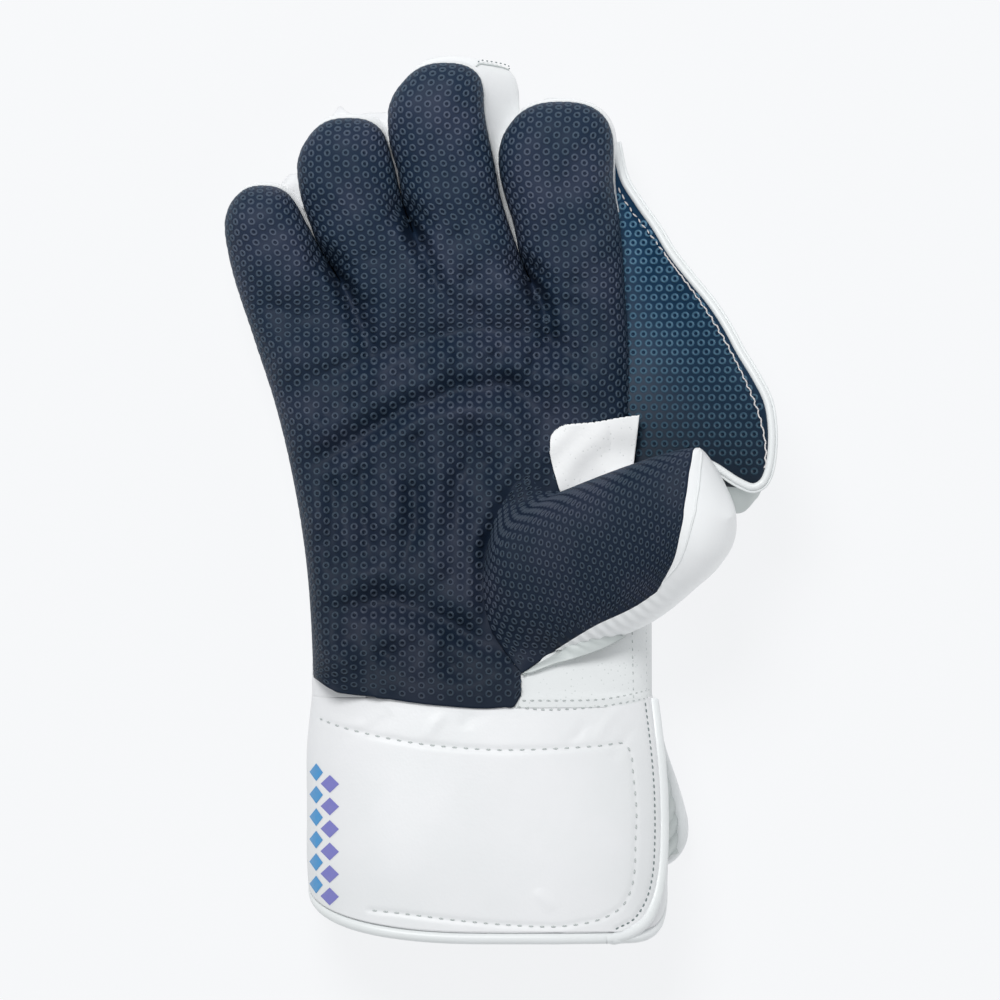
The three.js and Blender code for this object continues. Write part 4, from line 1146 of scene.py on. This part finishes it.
def make_web_stitches(surface):
    """A loose chain stitch that wanders as a sine of its length, and straight dashes near the fingertip."""
    plan = path_through(WEB_STITCH, 900)
    lengths = np.linspace(0, 138, len(plan))
    wave = 0.32 * smoothstep(88, 78, plan[:, 1]) * (0.75 + 0.25 * np.sin(lengths / 5.3))
    normal = np.stack([np.gradient(plan[:, 1]), -np.gradient(plan[:, 0])], 1)
    wander = wave * np.sin(2 * np.pi * lengths / 4.4 + 0.8 * np.sin(lengths / 7.7))
    plan = plan + unit(normal) * wander[:, None]
    lift = 0.35 + 0.12 * np.cos(2 * np.pi * lengths / 2)
    thread = on_surface(surface, plan[:, 0], plan[:, 1], lift)
    chain = plan[:, 1] < 92
    up = upward(len(plan))
    fit(tube("web_chain_stitch", thread[chain], up[chain], 0.28, 8), (), THREAD)
    make_running_stitch("web_dashes", thread[~chain], up[~chain], 3.0, 2.3, 0.62, THREAD)


# The padded back of the hand and the side walls of the fingers

def lean(points, strip):
    """Moves what lies under the seam towards the thumb, and at once a little past the fingertip."""
    y, z = points[..., 1], points[..., 2]
    tip_y = strip["tip"][1]
    under = np.clip((seam_height(y) - z) / 9.0, 0, 1)
    shift = through(strip["lean"], y) * smoothstep(0, 1, under)
    near_tip = smoothstep(tip_y - strip["dome"], tip_y, y)
    moved = points.copy()
    moved[..., 0] += shift
    moved[..., 1] += near_tip * (strip["past"] * smoothstep(0, 0.25, under) - 0.12 * shift)
    return moved


def back_strip(strip, turns):
    """The mirror of a front strip: from the seam down to the flattened back."""
    y = strip_rows(strip)[:, None]
    y = np.maximum(y, WRIST_Y)
    turn = np.asarray(turns, float)[None, :]
    middle, half, shrink = strip_plan(strip, y)
    seam = seam_height(y) + 0 * turn
    depth = (seam - hand_bottom(y)) * shrink
    angle = turn * np.pi / 2
    round_x = middle + half * power(np.sin(angle), BACK_ROUNDING)
    round_z = seam - depth * power(np.cos(angle), BACK_ROUNDING)
    flat_x = middle + half * turn
    flat_z = hand_bottom(y) + 0 * turn
    blend = side_blend(strip, y, turn)
    x = mix(round_x, flat_x, blend)
    z = np.maximum(mix(round_z, flat_z, blend), 0.05)
    return lean(np.stack([x, y + 0 * turn, z], -1), strip)


# Folds of the leather that stand past the fingertips: their lower and their upper lines
TIP_FLAPS = [
    ("ring_tip_fold", [(-66, 138, 31), (-60, 139.5, 31), (-52, 140, 31), (-40, 137, 31)],
     [(-64.5, 142.0, 30), (-61.8, 145.9, 30), (-59.8, 148.2, 29), (-57.3, 146.3, 30), (-54.6, 145.2, 30),
      (-48, 145.7, 29), (-40.5, 145.9, 29)]),
    ("little_tip_fold", [(-84, 114, 27), (-79, 114, 27), (-73, 109, 27)],
     [(-83, 117.6, 26), (-80.8, 120.8, 26), (-78.6, 122.6, 26), (-75.8, 122.6, 26), (-73, 119, 26)]),
    ("index_tip_fold", [(14, 144, 31), (21, 145, 31), (29, 145, 31)],
     [(14.4, 147.9, 30), (16.2, 150.2, 30), (18.6, 151.2, 30), (23.2, 151.0, 30), (27.2, 149.2, 30)]),
]


def make_back():
    """The padded back in one skin, the side wall of each finger, and the folds past the fingertips."""
    grids = [back_strip(strip, TURNS) for strip in STRIPS.values()]
    skin = make_skin("padded_hand_back", grids, LEATHER_WALL, ["hand_back"], WHITE, flip=True)
    for name, strip in STRIPS.items():
        make_side_wall(name, strip)
    for name, first, second in TIP_FLAPS:
        fit(sheet_between(name, first, second, wall=FOLD_WALL, flip=True), (), WHITE)


def outline_normals(outline):
    """The outward side of a plan outline that runs up on the left and down on the right."""
    tangents = unit(np.gradient(outline, axis=0))
    return np.stack([-tangents[:, 1], tangents[:, 0]], 1)


def wall_outline(strip, start_left, start_right, count):
    """The plan outline of a finger at its seam: up one side, round the tip and down the other."""
    rows = strip_rows(strip)
    middle, half, _ = strip_plan(strip, rows)
    left, right = np.stack([middle - half, rows], 1), np.stack([middle + half, rows], 1)
    left = left[left[:, 1] >= start_left]
    right = right[right[:, 1] >= start_right]
    return path_through(np.concatenate([left[::3], right[-2::-3]]), count)


def make_side_wall(name, strip):
    """
    A leather band round the finger under the seam, bulging by a sine between its two seams where it
    shows, and drawn in on the little finger's side, where it doesn't. It turns under as a quarter
    circle.
    """
    slit_left, slit_right = strip["slits"]
    start_left = (slit_left or 88) + 1
    start_right = (slit_right or 88) + 1
    outline = wall_outline(strip, start_left, start_right, 140)
    share = np.linspace(0, 1, 12)[None, :]
    seam = seam_height(outline[:, 1])[:, None]
    z = seam - SIDE_BAND * share
    outward = outline_normals(outline)
    shown = smoothstep(-0.95, -0.45, outward[:, :1])
    bulge = (0.5 + 0.7 * np.sin(np.pi * share)) * shown - 0.4 * (1 - shown)
    inward = 3.5 * (1 - np.sqrt(np.maximum(1 - share**2, 0)))
    x = outline[:, None, 0] + outward[:, None, 0] * (bulge - inward)
    y = outline[:, None, 1] + outward[:, None, 1] * (bulge - inward)
    points = lean(np.stack([x, y, z + 0 * x], -1), strip)
    # The side wall takes the lighter copy of the white leather, as painted light.
    make_skin(f"{name}_side_wall", [points], SIDE_WALL, [f"{name}_wall"], LEATHER_PAINTED_LIGHT, flip=True)
    if name == "middle":
        place = int(np.argmin(np.hypot(outline[:, 0] + 8.3, outline[:, 1] - 162.2)))
        seam_line = path_through(points[place, 1:] + [0.0, -0.05, 0.35], 60)
        up = upward(len(seam_line), aside=0.3)
        # The seam over the middle fingertip is painted shade.
        fit(tube("middle_tip_seam", seam_line, up, 0.3, 8), (), SHADED)
        beside = seam_line + [0.3, 1.3, 0.2]
        # The stitches beside the seam are painted dark shade.
        make_running_stitch("middle_tip_stitches", beside, up, 1.9, 0.9, 0.5, THREAD_PAINTED_DEEP_SHADE, 0.3)


# The cuff at shares of its length: its left side, its right side in front and behind, as shares of the
# hand's width, and how much of its growth in height it has

CUFF_LEFT = [(0.0, -0.55), (0.2, -0.564), (0.45, -0.564), (0.66, -0.564), (1.0, -0.545)]
CUFF_RIGHT = [(0.0, 0.455), (0.2, 0.484), (0.45, 0.497), (0.66, 0.499), (1.0, 0.49)]
CUFF_FLAP = [(0.0, 0.47), (0.2, 0.519), (0.45, 0.58), (0.66, 0.613), (1.0, 0.613)]
CUFF_TOP = [(0.0, 0.0), (0.2, 0.3), (0.45, 0.62), (0.66, 0.85), (1.0, 1.0)]

# Where the front panel starts and ends round the section, and where the back panel ends
FRONT_EDGE = math.radians(-6)
FRONT_BACK = math.radians(205)
BACK_EDGE = math.radians(332)

# The share of the length that the rolled edge takes up, with its gap
HEM_GROW = (CUFF_PIPING + SEAM_GAP) / CUFF_LENGTH


def cuff_top(along):
    """The crown of the cuff at a share of its length."""
    return mix(WRIST_TOP, CUFF_HEIGHT, through(CUFF_TOP, along))


def cuff_point(angle, along, reach):
    """A rounded oblong section, cos^(2/3) and sin^(2/3) of the angle, that grows towards the hem."""
    left = HAND_WIDTH * through(CUFF_LEFT, along)
    right = HAND_WIDTH * through(reach, along)
    x = rounded(left, right, np.cos(angle))
    z = rounded(-FLATTENING, cuff_top(along), np.sin(angle))
    y = WRIST_Y - SEAM_GAP - along * CUFF_LENGTH + 0 * x
    return np.stack([x + 0 * y, y, np.maximum(z, 0.05) + 0 * y], -1)


def front_hem(u):
    """How far down the front panel reaches: it is cut back round its corner and where it wraps under."""
    corner = 1 - np.clip(u / 0.24, 0, 1)
    wrap = np.clip((u - 0.45) / 0.55, 0, 1)
    rise = 0.36 * (1 - np.sqrt(1 - 0.98 * corner**2.2)) + 0.27 * wrap**1.6
    return 1 - HEM_GROW - rise


def front_cuff(u, v):
    """The front panel at the share u round it and v down it, with its relief where it faces up."""
    u, v = np.broadcast_arrays(np.asarray(u, float), np.asarray(v, float))
    angle = mix(FRONT_EDGE, FRONT_BACK, u)
    points = cuff_point(angle, v * front_hem(u), CUFF_RIGHT)
    points[..., 2] += cuff_relief(points[..., 0], points[..., 1]) * np.maximum(np.sin(angle), 0)
    return points


# The rows of stitches pressed into the front of the cuff, and the creases of its leather
PANEL_STITCH = [
    (-67.7, -82.2), (-59.8, -85.1), (-44.4, -88.9), (-29.4, -91.5), (-14.4, -93), (0.6, -93.8),
    (19.3, -93.4), (38.1, -92.3), (46.8, -91.6), (49.4, -95), (50.4, -103.5), (51.6, -116.6),
    (51.2, -127.9), (50.8, -139.1), (49.3, -146.6), (46, -152.3), (38.1, -156.8), (23.1, -159.4),
    (0.6, -158.6), (-18.2, -156.8), (-36.9, -154.5), (-48.2, -153.4),
]
EDGE_STITCH = [
    (55.0, -76), (56.1, -85), (57.5, -97.5), (58.4, -111), (58.5, -128), (57.6, -141), (55.2, -150),
    (50.6, -157), (44, -160.5),
]
CREASES = [
    [(-68, -80), (-58, -84), (-50, -85)], [(-40, -80), (-47, -86), (-58, -90)],
    [(-20, -80), (-24, -84), (-27, -90)], [(33, -83), (30, -88), (24, -93)],
    [(46, -78), (40, -84), (36, -91)], [(52, -84), (47, -90), (42, -98)],
    [(14, -146), (18, -150), (21, -153)], [(-10, -80), (-13, -86)],
]


def cuff_relief(x, y):
    """Shallow grooves under the stitches, soft creases near the wrist and a slight quilted swell."""
    panel, _ = distance_to(PANEL_STITCH, x, y)
    edge, _ = distance_to(EDGE_STITCH, x, y)
    relief = -0.5 * bell(panel, 1.1) - 0.7 * bell(edge, 0.9)
    for number, crease in enumerate(CREASES):
        gap, share = distance_to(crease, x, y)
        depth = 0.45 * np.sin(np.pi * np.clip(share, 0, 1)) ** 0.5
        relief += depth * bell(gap, 2.2) * (-1) ** number
    inside = smoothstep(-84, -100, y) * smoothstep(-158, -140, y)
    return relief + 0.3 * inside * np.sin(x / 13.0 + 1.0) * np.sin(y / 17.0)


def cuff_height(x, y):
    """The front of the cuff over the plan: the same rounded section, solved for z."""
    along = np.clip((WRIST_Y - SEAM_GAP - np.asarray(y, float)) / CUFF_LENGTH, 0, 1)
    left, right = HAND_WIDTH * through(CUFF_LEFT, along), HAND_WIDTH * through(CUFF_RIGHT, along)
    share = np.clip(np.abs(x - (left + right) / 2) * 2 / (right - left), 0, 0.999)
    facing = (1 - share**3) ** 0.5
    return rounded_top(-FLATTENING, cuff_top(along), share) + cuff_relief(x, y) * facing


def on_cuff(plan, lift):
    """Points and normals over the plan on the front of the cuff. The slopes are central differences."""
    x, y = plan[..., 0], plan[..., 1]
    z = cuff_height(x, y)
    step = 0.3
    slope_x = (cuff_height(x + step, y) - cuff_height(x - step, y)) / (2 * step)
    slope_y = (cuff_height(x, y + step) - cuff_height(x, y - step)) / (2 * step)
    normals = unit(np.stack([-slope_x, -slope_y, np.ones_like(z)], -1))
    return np.stack([x, y, z], -1) + lift * normals, normals


def back_hem(u):
    """How far down the back panel reaches: it is cut back round its corner."""
    corner = np.clip((u - 0.7) / 0.3, 0, 1)
    meet = 1 - HEM_GROW - 0.27
    rise = 0.2 * (1 - np.sqrt(1 - 0.98 * corner**2.2))
    return meet + 0.02 * np.sin(np.pi * np.clip(u, 0, 1)) - rise


def back_cuff(u, v):
    """The back panel at the share u round it and v down it."""
    u, v = np.broadcast_arrays(np.asarray(u, float), np.asarray(v, float))
    return cuff_point(mix(FRONT_BACK, BACK_EDGE, u), v * back_hem(u), CUFF_FLAP)


def edge_of(surface, open_u, wall, outward):
    """The path of a panel's rolled edge: its hem, then its open side, half a wall in."""
    shares = np.sin(np.linspace(0.03, 1, 120) * np.pi / 2)
    hem_u = 1 - shares if open_u == 0 else shares
    side_v = np.linspace(0.985, 0.0, 60)
    u = np.concatenate([hem_u, np.full(60, float(open_u))])
    v = np.concatenate([np.ones(120), side_v])
    step = 1e-3
    points = surface(u, v)
    along_u = surface(u + step, v) - surface(u - step, v)
    along_v = surface(u, v + step) - surface(u, v - step)
    normals = unit(np.cross(along_u, along_v))
    tangents = unit(np.gradient(points, axis=0))
    aside = unit(np.cross(tangents, normals))
    aside *= -1 if open_u == 0 else 1
    path = points + aside * outward - normals * wall / 2
    return path, normals


def make_cuff():
    """The front panel and the padded back panel, each with its rolled edge."""
    roll, outward = CUFF_PIPING / 2, -CUFF_PIPING / 2 - 0.1
    v = np.linspace(0, 1, 150)[:, None]
    front = [front_cuff(np.linspace(0, 1, 290)[None, :], v)]
    make_skin("cuff_front_panel", front, CUFF_FRONT_WALL, ["cuff_front"], WHITE)
    path, normals = edge_of(front_cuff, 0, CUFF_FRONT_WALL, outward)
    fit(tube("cuff_front_rolled_edge", path, normals, roll), ["cuff_front_piping"], ROLLED)
    back = [back_cuff(np.linspace(0, 1, 110)[None, :], v)]
    back = make_skin("cuff_back_panel", back, CUFF_BACK_WALL, ["cuff_back"], WHITE)
    path, normals = edge_of(back_cuff, 1, CUFF_BACK_WALL, outward)
    fit(tube("cuff_back_rolled_edge", path, normals, roll + 0.4), ["cuff_back_piping"], ROLLED)


def make_collar():
    """The cuff's upper edge: it goes on under the rubber's hem and stands up beside its corner."""
    angle = np.linspace(math.radians(124), math.radians(214), 120)[None, :]
    share = np.linspace(0, 1, 20)[:, None]
    section = cuff_point(angle, 0.0, CUFF_RIGHT)
    x, z = section[..., 0], section[..., 2]
    top = through(PALM_HEM, x) + 0.6
    top = mix(top, -61.8, smoothstep(-69.2, -70.6, x))
    y = mix(top, -76.5, share)
    under = smoothstep(-74.0, -75.6, y)
    x, z = x + 0.9 * under * smoothstep(-60, -66, x), z - 0.8 * under
    collar = [np.stack([x + 0 * y, y, z + 0 * y], -1)]
    make_skin("cuff_collar", collar, COLLAR_WALL, (), WHITE)


# Where the side roll goes on past the edge's stitches, round the corner of the hem
SIDE_ROLL_END = [(58.4, -150.5), (54.6, -158), (48, -162.6), (40, -164.4)]

# Plain lozenges on the little finger's side of the cuff: x, y, width and height
LOZENGES = [
    (-68.3 + 5.2 * (step % 2), -102.5 - 4.2 * step, 2.6 + 0.9 * (step % 2), 5.4) for step in range(12)
]


def lozenges(name, centres):
    """Thin flat lozenges laid on the cuff: |a| + |b| is at most 1 for their local a and b."""
    side = np.linspace(-1, 1, 9)
    first, second = np.meshgrid(side, side, indexing="ij")
    a, b = ((first + second) / 2).ravel(), ((second - first) / 2).ravel()
    plan = np.stack([
        centres[:, :1] + a[None] * centres[:, 2:3],
        centres[:, 1:2] + b[None] * centres[:, 3:4] * 0.62,
    ], -1)
    points, _ = on_cuff(plan, 0.12)
    return new_mesh(name, points, repeated_faces(grid_faces(9, 9), 81, len(centres)))


def make_cuff_details():
    """The stitches, the lozenges, the roll beside the panel and the lining in the opening."""
    for name, line, pitch, size, material in (
        ("cuff_panel_stitches", PANEL_STITCH, 4.2, (1.9, 0.8), THREAD_PAINTED_SHADE),
        # The panel's stitches are painted grey shade.
        ("cuff_edge_stitches", EDGE_STITCH, 2.4, (1.5, 0.7), THREAD_PAINTED_DEEP_SHADE),
    # The edge's stitches are painted dark shade.
    ):
        points, normals = on_cuff(path_through(line, 500), 0.0)
        make_running_stitch(name, points, normals, pitch, size[0], size[1], material, 0.3)
    fit(lozenges("blue_lozenges", np.array(LOZENGES[0::2])), (), PRINT_BLUE)
    fit(lozenges("violet_lozenges", np.array(LOZENGES[1::2])), (), PRINT_VIOLET)
    beside_stitches = [(x + 2.9, y) for x, y in EDGE_STITCH[:6]]
    side = path_through(beside_stitches + SIDE_ROLL_END, 240)
    points, normals = on_cuff(side, 0.0)
    points[:, 2] -= 1.2
    width = 2.5 - 0.7 * smoothstep(0.85, 1.0, np.linspace(0, 1, len(side)))
    fit(tube("cuff_side_roll", points, normals, width, 16), (), ROLLED)
    lining = sheet_between(
        "cuff_opening_lining",
        [(57, -88, 24), (60, -104, 24), (62, -120, 24), (60, -138, 22)],
        [(61.5, -91, 13), (65, -108, 11), (68.6, -122, 10), (68, -134, 9)],
        waves=1.3,
    )
    # The lining is painted shade, for the shaded inside of the opening.
    fit(lining, (), SHADED)


# The suede patches

# The hand's section at the wrist: its little finger's side, and its thumb's side under the
# stitches and at the suede
WRIST_LEFT = -70.4
STITCHED_RIGHT = 57.6
SUEDE_RIGHT = 57.9

# The outline of the crotch patch: its upper and its lower line
CROTCH_UPPER = [(19.4, 17), (19.9, 24.0), (23.8, 27.4), (30, 28.2), (36.6, 28.9), (45, 30.4), (52.9, 31.5)]
CROTCH_LOWER = [(19.4, 17), (21.2, 9), (24.6, 1.2), (31.3, 3.4), (42.9, 7.9), (50.3, 9.4)]


# The rows of stitches on the wrist suede
WRIST_STITCHES = [
    [(8.1, -75.4), (38.1, -75.0), (50, -73.2), (56.8, -71.6)],
    [(6.2, -77.6), (17.4, -78.8), (38.1, -77.6), (56.8, -74.6)], [(50.1, -46), (50.3, -62), (50.6, -76)],
    [(55.3, -46), (55.4, -62), (55.6, -76)],
]


def wrist_section(x, y):
    """The height of the hand's rounded section at the wrist."""
    left, right = WRIST_LEFT, STITCHED_RIGHT
    share = np.clip(np.abs(x - (left + right) / 2) / ((right - left) / 2), 0, 1)
    return rounded_top(hand_bottom(y), hand_top(y), share)


def lap_at(y):
    """How high the suede laps over the seam between hand and cuff."""
    return SUEDE_LAP * smoothstep(-72, -75, y)


def make_wrist_patch():
    """The suede panel below the thumb, on the hand's rounded section, with its rows of stitches."""
    angle = np.linspace(math.radians(86), math.radians(-4), 90)[None, :]
    y = np.linspace(-78.2, -38, 70)[:, None]
    x = np.maximum(rounded(WRIST_LEFT, SUEDE_RIGHT, np.cos(angle)) + 0 * y, 7.4)
    level = np.maximum(y, WRIST_Y)
    z = rounded(hand_bottom(level), hand_top(level), np.sin(angle)) + lap_at(y)
    wrist = [np.stack([x, y + 0 * x, z], -1)]
    make_skin("wrist_suede", wrist, SUEDE_WALL, ["wrist_patch"], SUEDE)
    for number, line in enumerate(WRIST_STITCHES):
        plan = path_through(line, 200)
        z = wrist_section(plan[:, 0], np.maximum(plan[:, 1], WRIST_Y)) + lap_at(plan[:, 1])
        path = np.concatenate([plan, z[:, None]], 1)
        name = f"wrist_stitches_{number + 1}"
        up = upward(len(plan), aside=0.1)
        # The wrist's stitches are painted grey shade.
        make_running_stitch(name, path, up, 3.0, 1.5, 0.7, THREAD_PAINTED_SHADE, 0.3)


def make_crotch_patch():
    """The suede patch at the thumb's fork, just above the palm, with a slightly ragged upper edge."""
    upper, lower = path_through(CROTCH_UPPER, 90), path_through(CROTCH_LOWER, 90)
    share = np.linspace(0, 1, 36)[:, None, None]
    plan = lower[None] * (1 - share) + upper[None] * share
    ragged = 0.22 * np.sin(np.arange(90) * 1.9) * np.sin(np.arange(90) * 0.63)
    plan[..., 1] += ragged[None] * np.array(share[..., 0] > 0.99, float)
    flat = palm_height(np.minimum(plan[..., 0], 42), plan[..., 1]) + 1.0
    fall = 2.6 * smoothstep(40, 56, plan[..., 0])
    crotch = [np.concatenate([plan, (flat - fall)[..., None]], -1)]
    # The crotch patch takes the lighter copy of the suede, as painted light.
    make_skin("crotch_suede", crotch, SUEDE_WALL, ["crotch_patch"], SUEDE_PAINTED_LIGHT)


# The floor, the light and the camera

def make_stage():
    """A wide pale floor that glows a little, and an even studio light all round."""
    size = 4.0
    corners = np.array([[-size, -size, 0], [size, -size, 0], [size, size, 0], [-size, size, 0]]) / MM
    floor = new_mesh("floor", corners - PATTERN_SHIFT, [[0, 1, 2, 3]])
    material, _, _, surface = shader("pale_floor", (0.11, 0.111, 0.112), 0.8)
    surface.inputs["Emission Color"].default_value = (0.975, 0.985, 1.0, 1)
    surface.inputs["Emission Strength"].default_value = 0.842
    floor.data.materials.append(material)
    surface.inputs["Specular IOR Level"].default_value = 0.0
    world = bpy.data.worlds.new("studio")
    bpy.context.scene.world = world
    world.use_nodes = True
    world.node_tree.nodes["Background"].inputs["Color"].default_value = (0.95, 0.975, 1.0, 1)
    world.node_tree.nodes["Background"].inputs["Strength"].default_value = 0.47


def area_light(name, place, target, size, power_watts):
    """A round lamp of so many metres at a place, turned to its target."""
    light = bpy.data.lights.new(name, "AREA")
    light.shape = "DISK"
    light.size = size
    light.energy = power_watts
    lamp = bpy.data.objects.new(name, light)
    direction = np.array(target) - np.array(place)
    lamp.location = place
    lamp.rotation_euler = (
        math.atan2(math.hypot(direction[0], direction[1]), -direction[2]),
        0,
        math.atan2(direction[1], direction[0]) - math.pi / 2,
    )
    bpy.context.scene.collection.objects.link(lamp)


def make_camera():
    """A long lens straight above the palm, framed as wide as the photograph."""
    lens, sensor, field, focus_height = 300.0, 36.0, 375.0, 48.0
    camera = bpy.data.cameras.new("camera")
    camera.lens = lens
    camera.sensor_width = sensor
    camera.clip_end = 50
    holder = bpy.data.objects.new("camera", camera)
    centre = np.array([0.56, -0.38, 0.0]) + PATTERN_SHIFT
    holder.location = (centre[0] * MM, centre[1] * MM, (field * lens / sensor + focus_height) * MM)
    bpy.context.scene.collection.objects.link(holder)
    bpy.context.scene.camera = holder


make_camera()
make_stage()
area_light("key", (-0.5, 1.35, 2.2), (0, 0, 0.05), 1.1, 39)
area_light("fill", (1.2, -1.2, 1.9), (0, 0, 0.05), 1.8, 7)
make_palm()
make_thumb()
make_web()
make_back()
make_cuff()
make_collar()
make_cuff_details()
make_wrist_patch()
make_crotch_patch()

bpy.context.scene.view_settings.view_transform = "Standard"
